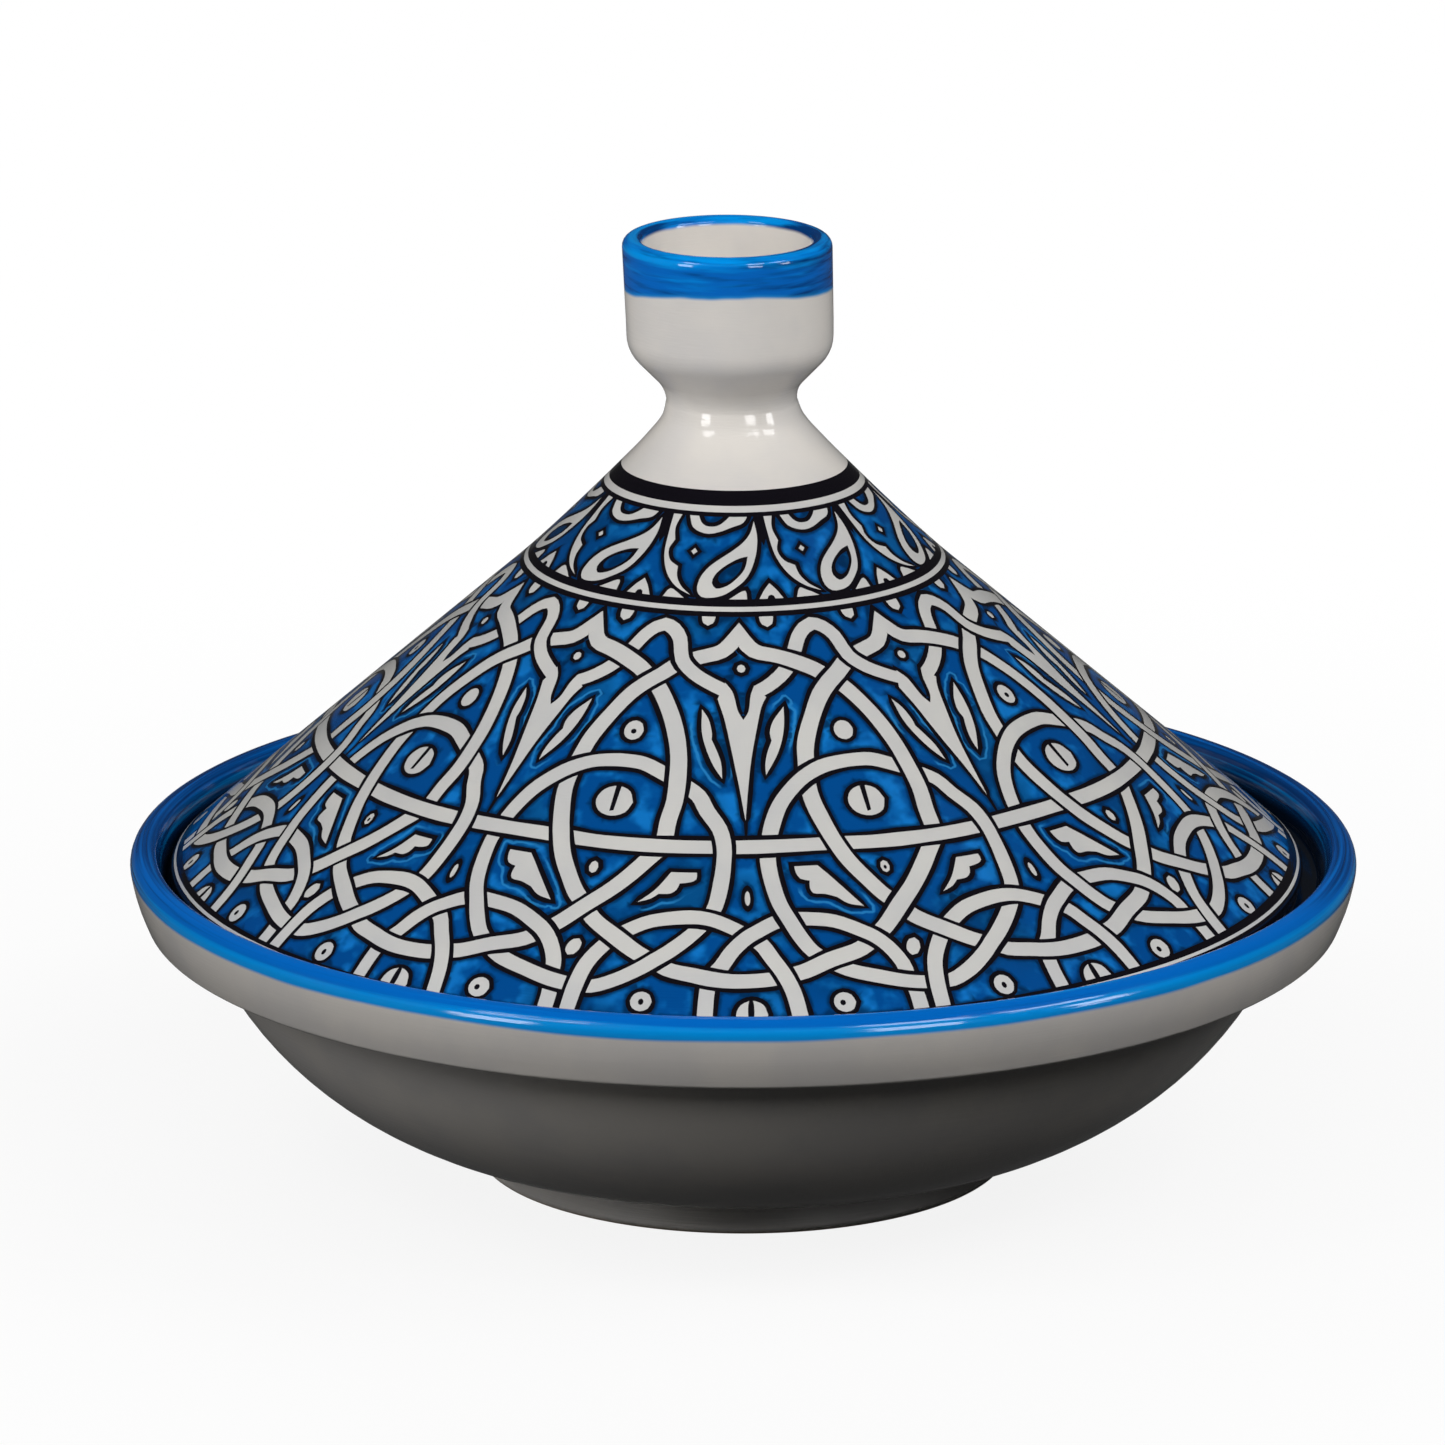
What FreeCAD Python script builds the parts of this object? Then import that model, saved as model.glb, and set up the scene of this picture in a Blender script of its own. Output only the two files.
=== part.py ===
import FreeCAD, Part
import math
import os
import Sketcher

# A tagine of two fired clay pieces: a footed dish with a gallery rim, and a conical lid whose neck
# ends in a cup-shaped knob. The origin is the centre of the foot ring on the table, and Z is the
# axis that both pieces were thrown on.

# Driving dimensions: name, millimetres or degrees, meaning
DIMENSIONS = [
    ("foot_radius", 66.0, "outer edge of the foot ring, on the table"),
    ("foot_inner_radius", 56.5, "inner edge of the foot ring, on the table"),
    ("foot_recess", 7.0, "depth of the turned recess inside the foot ring"),
    ("foot_recess_radius", 54.5, "recess radius at its ceiling"),
    ("foot_neck_radius", 63.7, "where the foot ring meets the bowl"),
    ("foot_neck_height", 8.0, "height of that meeting line"),
    ("bowl_round", 84.0, "radius of the bowl's round outside"),
    ("bowl_wall", 8.0, "thickness of the bowl"),
    ("wall_top_radius", 132.2, "outside of the bowl where it runs under the rim band"),
    ("wall_top_height", 59.4, "height of that line"),
    ("floor_radius", 55.0, "flat floor inside the bowl"),
    ("floor_height", 15.0, "height of the floor"),
    ("band_foot_radius", 146.0, "lower edge of the rim band"),
    ("band_foot_height", 63.0, "height of that edge"),
    ("rim_radius", 150.0, "widest line of the rim band, where the roll starts"),
    ("rim_roll", 4.2, "radius of the rolled top of the rim"),
    ("rim_height", 80.3, "top of the rim"),
    ("gallery_inner_radius", 128.0, "inner edge of the ledge that carries the lid"),
    ("gallery_outer_radius", 140.7, "foot of the rim's inner wall"),
    ("gallery_mouth_radius", 143.9, "rim's inner wall at the top"),
    ("gallery_height", 71.0, "height of the ledge, and of the lid's seat on it"),
    ("lid_seat_radius", 137.0, "outer edge of the lid's flat seat"),
    ("lid_edge_radius", 138.7, "widest line of the lid"),
    ("lid_edge_height", 75.3, "height of the lid's widest line"),
    ("cone_angle", 49.0, "half angle of the cone, degrees"),
    ("lid_wall", 7.5, "thickness of the cone"),
    ("lid_crown", 13.0, "radius of the rounded top of the hollow"),
    ("neck_radius", 51.9, "where the cone gives way to the steeper neck"),
    ("waist_radius", 15.8, "narrowest line of the neck"),
    ("waist_height", 191.0, "height of the waist"),
    ("waist_turn", 7.3, "hollow radius of the waist"),
    ("flare_slope", 46.0, "rise of the knob's straight underside, degrees"),
    ("flare_turn", 8.9, "round from that underside into the knob's wall"),
    ("knob_base_radius", 25.0, "knob at the top of that round"),
    ("knob_lip_radius", 25.4, "knob at its lip"),
    ("knob_top_height", 231.2, "top of the knob, the whole height"),
    ("cup_floor_radius", 19.0, "knob's cup, extended to its floor"),
    ("cup_floor_height", 203.5, "floor of the cup"),
    ("cup_lip_radius", 20.5, "knob's cup at the lip"),
]
SIZE = {name: value for name, value, meaning in DIMENSIONS}

# Softened edges, as a wet sponge leaves them
SOFTENED = [
    ("soft_edge", 1.0, "ordinary edges"),
    ("lip_edge", 1.6, "both edges of the knob's lip"),
    ("cup_corner", 4.0, "corner at the floor of the cup"),
]

# The widest turns are cut as flats, at most 0.5 mm inside the true arc, so that the wide rings
# stay light; the arc itself stays in the sketch and drives them
BOWL_FLATS = 5
ROLL_FLATS = 3
# How near an edge has to be to the place it is looked up by
FIND_WITHIN = 0.05
CUBIC_MM_PER_LITRE = 1e6

doc = FreeCAD.newDocument("Tagine")
sheet = doc.addObject("Spreadsheet::Sheet", "Sizes")
for row, (name, value, meaning) in enumerate(DIMENSIONS + SOFTENED, start=1):
    sheet.set(f"A{row}", meaning)
    sheet.set(f"B{row}", str(value))
    sheet.setAlias(f"B{row}", name)
doc.recompute()


class HalfSection:
    """A closed outline in a body's XZ half plane, drawn corner to corner and tied to the sheet."""

    def __init__(self, body, name):
        self.sketch = body.newObject("Sketcher::SketchObject", name)
        plane = next(item for item in body.Origin.OriginFeatures if item.Role == "XZ_Plane")
        self.sketch.AttachmentSupport = (plane, [""])
        self.sketch.MapMode = "FlatFace"
        self.edges = []

    def add(self, geometry, start, end, smooth, guide=False):
        index = self.sketch.addGeometry(geometry, guide)
        if self.edges:
            last, last_end = self.edges[-1][0], self.edges[-1][2]
            kind = "Tangent" if smooth else "Coincident"
            self.sketch.addConstraint(Sketcher.Constraint(kind, last, last_end, index, start))
        self.edges.append((index, start, end))
        return index

    def line(self, start, end, smooth=False):
        """A straight edge; smooth makes it leave the last edge without a corner."""
        ends = [FreeCAD.Vector(radius, height, 0) for radius, height in (start, end)]
        return self.add(Part.LineSegment(*ends), 1, 2, smooth)

    def arc(self, centre, radius, first, last, smooth=False, flats=0):
        """A round edge from one angle to another, in degrees; it runs clockwise if last is less.

        With flats, the arc is a guide, and that many equal chords of it are the edge.
        """
        middle = FreeCAD.Vector(centre[0], centre[1], 0)
        circle = Part.Circle(middle, FreeCAD.Vector(0, 0, 1), radius)
        low, high = sorted((math.radians(first), math.radians(last)))
        start, end = (1, 2) if last > first else (2, 1)
        curve = Part.ArcOfCircle(circle, low, high)
        index = self.add(curve, start, end, smooth, guide=flats > 0)
        if flats:
            self.chords(curve, index, flats)
        return index

    def chords(self, curve, index, count):
        """Equal straight edges, end to end, in place of an arc that is kept as a guide."""
        step = (curve.LastParameter - curve.FirstParameter) / count
        spots = [curve.value(curve.FirstParameter + step * number) for number in range(count + 1)]
        chords = []
        for pair in zip(spots, spots[1:]):
            chords.append(self.sketch.addGeometry(Part.LineSegment(*pair), False))
        for chord, following in zip(chords, chords[1:]):
            self.sketch.addConstraint(Sketcher.Constraint("Coincident", chord, 2, following, 1))
            self.sketch.addConstraint(Sketcher.Constraint("PointOnObject", chord, 2, index))
            self.sketch.addConstraint(Sketcher.Constraint("Equal", chord, following))
        self.sketch.addConstraint(Sketcher.Constraint("Coincident", chords[0], 1, index, 1))
        self.sketch.addConstraint(Sketcher.Constraint("Coincident", chords[-1], 2, index, 2))

    def close(self):
        first, last = self.edges[0], self.edges[-1]
        self.sketch.addConstraint(Sketcher.Constraint("Coincident", last[0], last[2], first[0], first[1]))

    def tie(self, kind, where, expression):
        """A dimension of the outline, driven by an expression over the sheet."""
        measure = self.sketch.evalExpression(expression)
        value = getattr(measure, "Value", measure)
        if kind == "Angle":
            value = math.radians(value)
            expression = f"({expression}) * 1 deg"
        index = self.sketch.addConstraint(Sketcher.Constraint(kind, *where, value))
        self.sketch.setExpression(f"Constraints[{index}]", expression)

    def place(self, edge, point, radius, height):
        """Put one end (1 or 2) or the centre (3) of an edge at a radius and a height."""
        for kind, expression in (("DistanceX", radius), ("DistanceY", height)):
            if expression == "0":
                axis = -2 if kind == "DistanceX" else -1
                self.sketch.addConstraint(Sketcher.Constraint("PointOnObject", edge, point, axis))
            else:
                self.tie(kind, (-1, 1, edge, point), expression)

    def polygon(self, corners):
        """A straight-sided outline through corners given as pairs of sheet expressions."""
        spots = []
        for corner in corners:
            measures = [self.sketch.evalExpression(text) for text in corner]
            spots.append([getattr(measure, "Value", measure) for measure in measures])
        for number, corner in enumerate(corners):
            edge = self.line(spots[number], spots[(number + 1) % len(spots)])
            self.place(edge, 1, *corner)
        self.close()


def turned(body, kind, name, outline):
    """Turn an outline about the body's axis, as added clay (Revolution) or cut clay (Groove)."""
    before = body.Shape.Volume if body.Tip else 0.0
    fault = outline.sketch.solve()
    if fault or not outline.sketch.FullyConstrained:
        raise RuntimeError(f"{outline.sketch.Name}: solver {fault}, not fully constrained or in conflict")
    feature = body.newObject(f"PartDesign::{kind}", name)
    feature.Profile = outline.sketch
    feature.ReferenceAxis = (outline.sketch, ["V_Axis"])
    feature.Angle = 360.0
    doc.recompute()
    change = body.Shape.Volume - before
    if (change > 0) != (kind == "Revolution"):
        raise RuntimeError(f"{name} changes the volume by {change:.0f} cubic millimetres")


def soften(body, name, size, places):
    """Take the sharpness off the circular edges that stand at the given radii and heights."""
    base = body.Tip
    names = []
    for radius, height in places:
        for number, edge in enumerate(base.Shape.Edges, start=1):
            box = edge.BoundBox
            at_height = max(abs(box.ZMin - height), abs(box.ZMax - height)) < FIND_WITHIN
            if at_height and abs(box.XMax - radius) < FIND_WITHIN:
                names.append(f"Edge{number}")
                break
        else:
            raise RuntimeError(f"{name}: no edge at radius {radius:.2f}, height {height:.2f}")
    chamfer = body.newObject("PartDesign::Chamfer", name)
    chamfer.Base = (base, names)
    chamfer.setExpression("Size", f"Sizes.{size}")
    doc.recompute()


def bowl_side(outline, start, end, radius, radius_expression, start_corner, end_corner):
    """The round side of the bowl from one corner up to another, for its outside and its hollow."""
    # The centre stands over the middle of the chord, towards the axis
    chord = (end[0] - start[0], end[1] - start[1])
    length = math.hypot(*chord)
    reach = math.sqrt(radius ** 2 - length ** 2 / 4) / length
    centre = ((start[0] + end[0]) / 2 - chord[1] * reach, (start[1] + end[1]) / 2 + chord[0] * reach)
    first = math.degrees(math.atan2(start[1] - centre[1], start[0] - centre[0]))
    last = math.degrees(math.atan2(end[1] - centre[1], end[0] - centre[0]))
    side = outline.arc(centre, radius, first, last, flats=BOWL_FLATS)
    outline.place(side, 1, *start_corner)
    outline.place(side, 2, *end_corner)
    outline.tie("Radius", (side,), radius_expression)


# Base dish
dish = doc.addObject("PartDesign::Body", "base_dish")
dish.Label = "base_dish"

form = HalfSection(dish, "DishOutline")
foot_neck = (SIZE["foot_neck_radius"], SIZE["foot_neck_height"])
wall_top = (SIZE["wall_top_radius"], SIZE["wall_top_height"])
band_foot = (SIZE["band_foot_radius"], SIZE["band_foot_height"])
roll_centre = (SIZE["rim_radius"] - SIZE["rim_roll"], SIZE["rim_height"] - SIZE["rim_roll"])
rim_widest = (SIZE["rim_radius"], roll_centre[1])
rim_top = (roll_centre[0], SIZE["rim_height"])

base = form.line((0, 0), (SIZE["foot_radius"], 0))
foot_side = form.line((SIZE["foot_radius"], 0), foot_neck)
form.place(base, 1, "0", "0")
form.place(foot_side, 1, "Sizes.foot_radius", "0")
bowl_side(form, foot_neck, wall_top, SIZE["bowl_round"], "Sizes.bowl_round",
          ("Sizes.foot_neck_radius", "Sizes.foot_neck_height"),
          ("Sizes.wall_top_radius", "Sizes.wall_top_height"))
form.line(wall_top, band_foot)
band = form.line(band_foot, rim_widest)
roll = form.arc(roll_centre, SIZE["rim_roll"], 0, 90, flats=ROLL_FLATS)
top = form.line(rim_top, (0, SIZE["rim_height"]))
form.line((0, SIZE["rim_height"]), (0, 0))
form.close()
form.place(band, 1, "Sizes.band_foot_radius", "Sizes.band_foot_height")
form.place(band, 2, "Sizes.rim_radius", "Sizes.rim_height - Sizes.rim_roll")
form.place(roll, 3, "Sizes.rim_radius - Sizes.rim_roll", "Sizes.rim_height - Sizes.rim_roll")
form.tie("DistanceX", (-1, 1, top, 1), "Sizes.rim_radius - Sizes.rim_roll")
form.place(top, 2, "0", "Sizes.rim_height")
turned(dish, "Revolution", "DishForm", form)

hollow = HalfSection(dish, "BowlHollowOutline")
floor_corner = (SIZE["floor_radius"], SIZE["floor_height"])
ledge_inner = (SIZE["gallery_inner_radius"], SIZE["gallery_height"])
ledge_outer = (SIZE["gallery_outer_radius"], SIZE["gallery_height"])
rim_mouth = (SIZE["gallery_mouth_radius"], SIZE["rim_height"])
floor = hollow.line((0, SIZE["floor_height"]), floor_corner)
hollow.place(floor, 1, "0", "Sizes.floor_height")
bowl_side(hollow, floor_corner, ledge_inner, SIZE["bowl_round"] - SIZE["bowl_wall"],
          "Sizes.bowl_round - Sizes.bowl_wall",
          ("Sizes.floor_radius", "Sizes.floor_height"),
          ("Sizes.gallery_inner_radius", "Sizes.gallery_height"))
hollow.line(ledge_inner, ledge_outer)
rim_wall = hollow.line(ledge_outer, rim_mouth)
hollow.place(rim_wall, 1, "Sizes.gallery_outer_radius", "Sizes.gallery_height")
hollow.place(rim_wall, 2, "Sizes.gallery_mouth_radius", "Sizes.rim_height")
mouth = hollow.line(rim_mouth, (0, SIZE["rim_height"]))
hollow.place(mouth, 2, "0", "Sizes.rim_height")
hollow.line((0, SIZE["rim_height"]), (0, SIZE["floor_height"]))
hollow.close()
turned(dish, "Groove", "BowlHollow", hollow)

recess = HalfSection(dish, "FootRecessOutline")
recess.polygon([
    ("0", "0"),
    ("Sizes.foot_inner_radius", "0"),
    ("Sizes.foot_recess_radius", "Sizes.foot_recess"),
    ("0", "Sizes.foot_recess"),
])
turned(dish, "Groove", "FootRecess", recess)

soften(dish, "DishEdges", "soft_edge", [band_foot, rim_mouth, (SIZE["foot_radius"], 0)])

# Lid
lid = doc.addObject("PartDesign::Body", "lid")
lid.Label = "lid"

form = HalfSection(lid, "LidOutline")
cone = math.radians(SIZE["cone_angle"])
seat_edge = (SIZE["lid_seat_radius"], SIZE["gallery_height"])
lid_edge = (SIZE["lid_edge_radius"], SIZE["lid_edge_height"])
cone_rise = (SIZE["lid_edge_radius"] - SIZE["neck_radius"]) / math.tan(cone)
cone_top = (SIZE["neck_radius"], SIZE["lid_edge_height"] + cone_rise)
waist_centre = (SIZE["waist_radius"] + SIZE["waist_turn"], SIZE["waist_height"])
# The neck runs straight from the cone's top until it touches the hollow of the waist
across = (waist_centre[0] - cone_top[0], waist_centre[1] - cone_top[1])
reach = math.hypot(*across)
neck_angle = math.atan2(across[1], across[0]) + math.asin(SIZE["waist_turn"] / reach)
neck_run = math.sqrt(reach ** 2 - SIZE["waist_turn"] ** 2)
neck_top = (cone_top[0] + neck_run * math.cos(neck_angle), cone_top[1] + neck_run * math.sin(neck_angle))
waist_first = math.degrees(neck_angle) + 90
# The knob's straight underside touches the hollow of the waist below and the knob's round above
rise = math.radians(SIZE["flare_slope"])
flare_in = SIZE["knob_base_radius"] - SIZE["flare_turn"]
both_turns = SIZE["waist_turn"] + SIZE["flare_turn"]
flare_run = (flare_in - waist_centre[0] + both_turns * math.sin(rise)) / math.cos(rise)
flare_start = (waist_centre[0] - SIZE["waist_turn"] * math.sin(rise),
               waist_centre[1] + SIZE["waist_turn"] * math.cos(rise))
flare_end = (flare_start[0] + flare_run * math.cos(rise), flare_start[1] + flare_run * math.sin(rise))
flare_centre = (flare_in, flare_end[1] + SIZE["flare_turn"] * math.cos(rise))
knob_base = (SIZE["knob_base_radius"], flare_centre[1])
knob_lip = (SIZE["knob_lip_radius"], SIZE["knob_top_height"])

seat = form.line((0, SIZE["gallery_height"]), seat_edge)
edge_side = form.line(seat_edge, lid_edge)
side = form.line(lid_edge, cone_top)
form.line(cone_top, neck_top)
waist = form.arc(waist_centre, SIZE["waist_turn"], waist_first, 90 + SIZE["flare_slope"], smooth=True)
underside = form.line(flare_start, flare_end, smooth=True)
flare = form.arc(flare_centre, SIZE["flare_turn"], SIZE["flare_slope"] - 90, 0, smooth=True)
knob_wall = form.line(knob_base, knob_lip, smooth=True)
knob_top = form.line(knob_lip, (0, SIZE["knob_top_height"]))
form.line((0, SIZE["knob_top_height"]), (0, SIZE["gallery_height"]))
form.close()
form.place(seat, 1, "0", "Sizes.gallery_height")
form.place(edge_side, 1, "Sizes.lid_seat_radius", "Sizes.gallery_height")
form.place(side, 1, "Sizes.lid_edge_radius", "Sizes.lid_edge_height")
form.tie("Angle", (side,), "90 + Sizes.cone_angle")
form.tie("DistanceX", (-1, 1, side, 2), "Sizes.neck_radius")
form.place(waist, 3, "Sizes.waist_radius + Sizes.waist_turn", "Sizes.waist_height")
form.tie("Radius", (waist,), "Sizes.waist_turn")
form.tie("Angle", (underside,), "Sizes.flare_slope")
form.tie("Radius", (flare,), "Sizes.flare_turn")
form.tie("DistanceX", (-1, 1, knob_wall, 1), "Sizes.knob_base_radius")
form.place(knob_top, 1, "Sizes.knob_lip_radius", "Sizes.knob_top_height")
form.place(knob_top, 2, "0", "Sizes.knob_top_height")
turned(lid, "Revolution", "LidForm", form)

hollow = HalfSection(lid, "LidHollowOutline")
seat_inner_radius = SIZE["lid_edge_radius"] - SIZE["lid_wall"] / math.cos(cone)
seat_inner_radius += (SIZE["lid_edge_height"] - SIZE["gallery_height"]) * math.tan(cone)
seat_inner = (seat_inner_radius, SIZE["gallery_height"])
crown_height = SIZE["gallery_height"] + seat_inner_radius / math.tan(cone)
crown_centre = (0, crown_height - SIZE["lid_crown"] / math.sin(cone))
crown_start = (SIZE["lid_crown"] * math.cos(cone), crown_centre[1] + SIZE["lid_crown"] * math.sin(cone))
opening = hollow.line((0, SIZE["gallery_height"]), seat_inner)
inside = hollow.line(seat_inner, crown_start)
crown = hollow.arc(crown_centre, SIZE["lid_crown"], SIZE["cone_angle"], 90, smooth=True)
hollow.line((0, crown_centre[1] + SIZE["lid_crown"]), (0, SIZE["gallery_height"]))
hollow.close()
hollow.place(opening, 1, "0", "Sizes.gallery_height")
hollow.place(inside, 1, "Sizes.lid_edge_radius - Sizes.lid_wall / cos(Sizes.cone_angle * 1 deg)"
             " + (Sizes.lid_edge_height - Sizes.gallery_height) * tan(Sizes.cone_angle * 1 deg)",
             "Sizes.gallery_height")
hollow.tie("Angle", (inside,), "90 + Sizes.cone_angle")
hollow.tie("Radius", (crown,), "Sizes.lid_crown")
hollow.sketch.addConstraint(Sketcher.Constraint("PointOnObject", crown, 3, -2))
hollow.sketch.addConstraint(Sketcher.Constraint("PointOnObject", crown, 2, -2))
turned(lid, "Groove", "LidHollow", hollow)

cup = HalfSection(lid, "KnobCupOutline")
cup.polygon([
    ("0", "Sizes.cup_floor_height"),
    ("Sizes.cup_floor_radius", "Sizes.cup_floor_height"),
    ("Sizes.cup_lip_radius", "Sizes.knob_top_height"),
    ("0", "Sizes.knob_top_height"),
])
turned(lid, "Groove", "KnobCup", cup)

soften(lid, "CupCorner", "cup_corner", [(SIZE["cup_floor_radius"], SIZE["cup_floor_height"])])
soften(lid, "KnobLip", "lip_edge", [knob_lip, (SIZE["cup_lip_radius"], SIZE["knob_top_height"])])
soften(lid, "LidEdge", "soft_edge", [lid_edge])

# Nothing is written unless every object came out whole
doc.recompute()
for item in doc.Objects:
    faults = {"Invalid", "Error"} & set(item.State)
    if faults:
        raise RuntimeError(f"{item.Name}: {faults}")
os.makedirs("parts", exist_ok=True)
for body in (dish, lid):
    if body.Shape.isNull() or not body.Shape.isValid():
        raise RuntimeError(f"{body.Label} is not a valid solid")
    litres = body.Shape.Volume / CUBIC_MM_PER_LITRE
    print(f"{body.Label}: {len(body.Shape.Solids)} solid, {litres:.3f} litres of clay")
    body.Shape.exportStep(f"parts/{body.Label}.step")
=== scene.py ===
import math

import bpy
import numpy as np
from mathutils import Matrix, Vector, geometry, kdtree, noise


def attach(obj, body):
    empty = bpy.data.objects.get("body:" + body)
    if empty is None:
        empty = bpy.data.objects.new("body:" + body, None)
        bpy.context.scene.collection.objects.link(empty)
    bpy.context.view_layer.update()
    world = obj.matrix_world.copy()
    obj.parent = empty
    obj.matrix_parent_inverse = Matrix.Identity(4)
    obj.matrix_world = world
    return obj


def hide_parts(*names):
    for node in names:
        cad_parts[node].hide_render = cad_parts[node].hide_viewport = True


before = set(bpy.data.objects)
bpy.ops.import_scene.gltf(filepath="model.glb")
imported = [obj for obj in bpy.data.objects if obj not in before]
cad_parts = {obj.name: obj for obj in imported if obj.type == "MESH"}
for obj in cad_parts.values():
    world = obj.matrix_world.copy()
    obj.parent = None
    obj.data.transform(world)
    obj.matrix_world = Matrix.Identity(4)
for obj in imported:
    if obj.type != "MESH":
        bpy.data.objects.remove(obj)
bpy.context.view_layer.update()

# A glazed pottery tagine: a footed dish with a blue rim, and a conical lid painted with a blue, white
# and black interlace. Both pieces are turned about the Z axis. Outlines are (radius, height) in
# millimetres, angles round the axis are in degrees from the front, and meshes are in metres.

MM = 0.001
COLUMNS = 192
# How far a chord may stand off its arc, the most that it may turn in radians, and the longest step along
# an outline
FLATNESS = 0.03
SHARPEST_TURN = 0.3
LONGEST_STEP = 8.0
# Points that agree to this many decimals of a millimetre are one
SAME_PLACE = 3
TINY = 1e-6


# Outlines

def as_points(rows):
    return [np.array(row[:2], float) for row in rows]


def unit(vector):
    return vector / np.hypot(*vector)


def arc(centre, radius, first, last):
    """Points on an arc from one angle to another, in degrees."""
    step = min(math.sqrt(8 * FLATNESS / radius), SHARPEST_TURN)
    count = max(2, math.ceil(abs(math.radians(last - first)) / step) + 1)
    angles = np.radians(np.linspace(first, last, count))
    return [np.array(centre) + radius * np.array((math.cos(a), math.sin(a))) for a in angles]


def rounded(corners):
    """An outline through corners given as (radius, height, rounding)."""
    spots = as_points(corners)
    made = []
    for number, here in enumerate(spots):
        rounding = corners[number][2]
        if rounding == 0:
            made.append(here)
            continue
        back = unit(spots[number - 1] - here)
        ahead = unit(spots[number + 1] - here)
        half = math.acos(np.clip(back @ ahead, -1, 1)) / 2
        centre = here + unit(back + ahead) * rounding / math.sin(half)
        reach = rounding / math.tan(half)
        start, end = here + back * reach - centre, here + ahead * reach - centre
        first = math.degrees(math.atan2(start[1], start[0]))
        turn = math.degrees(math.atan2(end[1], end[0])) - first
        made += arc(centre, rounding, first, first + (turn + 180) % 360 - 180)
    return made


def bow(start, end, radius):
    """The corners of a round between two others, bulging away from the axis as a bowl does."""
    start, end = np.array(start), np.array(end)
    chord = end - start
    reach = math.sqrt(radius ** 2 - chord @ chord / 4)
    centre = (start + end) / 2 + unit(np.array((-chord[1], chord[0]))) * reach
    first, last = [math.degrees(math.atan2(spot[1], spot[0])) for spot in (start - centre, end - centre)]
    return [(*spot, 0) for spot in arc(centre, radius, first, last)[1:-1]]


def curve(points, spacing, scale=None):
    """Points along a smooth curve through the given ones; scale(second) is the size of one unit across.

    The curve is a centripetal Catmull-Rom spline, and its end tangents follow its first and last steps.
    """
    knots = np.array(points, float)
    knots = np.vstack([2 * knots[0] - knots[1], knots, 2 * knots[-1] - knots[-2]])
    made = []
    for p0, p1, p2, p3 in zip(knots, knots[1:], knots[2:], knots[3:]):
        size = scale((p1[1] + p2[1]) / 2) if scale else 1.0
        steps = [p1 - p0, p2 - p1, p3 - p2]
        gaps = [max(math.hypot(step[0] * size, step[1]), TINY) for step in steps]
        t0, t1 = 0.0, gaps[0] ** 0.5
        t2, t3 = t1 + gaps[1] ** 0.5, t1 + gaps[1] ** 0.5 + gaps[2] ** 0.5
        count = max(1, round(gaps[1] / spacing))
        for t in np.linspace(t1, t2, count, endpoint=False):
            a1 = ((t1 - t) * p0 + (t - t0) * p1) / (t1 - t0)
            a2 = ((t2 - t) * p1 + (t - t1) * p2) / (t2 - t1)
            a3 = ((t3 - t) * p2 + (t - t2) * p3) / (t3 - t2)
            b1 = ((t2 - t) * a1 + (t - t0) * a2) / (t2 - t0)
            b2 = ((t3 - t) * a2 + (t - t1) * a3) / (t3 - t1)
            made.append(((t2 - t) * b1 + (t - t1) * b2) / (t2 - t1))
    made.append(knots[-2])
    return made


def stepped(points, longest):
    """The same outline with its long straight runs divided."""
    made = [points[0]]
    for start, end in zip(points, points[1:]):
        count = max(1, math.ceil(np.hypot(*(end - start)) / longest))
        made += [start + (end - start) * step / count for step in range(1, count + 1)]
    return made


def lengths(points):
    """Distance along an outline, at each of its points."""
    steps = np.hypot(*np.diff(np.array(points), axis=0).T)
    return np.concatenate([[0.0], np.cumsum(steps)])


# The dish, from the middle of the foot's recess round the rim to the middle of the bowl's floor
FOOT_NECK = (63.7, 8.0)
WALL_TOP = (132.2, 59.4)
FLOOR_EDGE = (55.0, 15.0)
LEDGE_EDGE = (128.0, 71.0)
BOWL_ROUND, BOWL_WALL = 84.0, 8.0
DISH_OUTLINE = rounded([
    (0.0, 7.0, 0),
    (54.5, 7.0, 2.0),
    (56.5, 0.0, 1.2),
    (66.0, 0.0, 1.4),
    (*FOOT_NECK, 1.5),
    *bow(FOOT_NECK, WALL_TOP, BOWL_ROUND),
    (*WALL_TOP, 1.5),
    (146.0, 63.0, 1.6),
    (148.7, 69.6, 40.0),
    (150.75, 80.3, 4.2),
    (143.9, 80.3, 2.2),
    (140.7, 71.0, 2.0),
    (*LEDGE_EDGE, 2.0),
    *bow(FLOOR_EDGE, LEDGE_EDGE, BOWL_ROUND - BOWL_WALL)[::-1],
    (*FLOOR_EDGE, 0),
    (0.0, FLOOR_EDGE[1], 0),
])

# The lid: its hollow and edge, its painted outside, then its neck, knob and cup
CONE_ANGLE = 49.0
LID_WALL = 7.5
LID_EDGE = np.array((138.7, 75.3))
SEAT_HEIGHT = 71.0
CROWN_ROUNDING = 13.0
WAIST = (15.8, 191.0)
WAIST_TURN = 7.3
FLARE_SLOPE = 46.0
FLARE_TURN = 8.9
KNOB_BASE_RADIUS = 25.0
KNOB_TOP = 231.2
cone = math.radians(CONE_ANGLE)


def on_cone(radius):
    return radius, LID_EDGE[1] + (LID_EDGE[0] - radius) / math.tan(cone)


# The gently hollow run from the straight cone into the waist
NECK_CURVE = [on_cone(63.0), on_cone(51.9), (39.8, 162.4), (28.9, 173.5), (22.0, 180.8), (17.2, 186.8)]
NECK_STEP = 0.6

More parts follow.
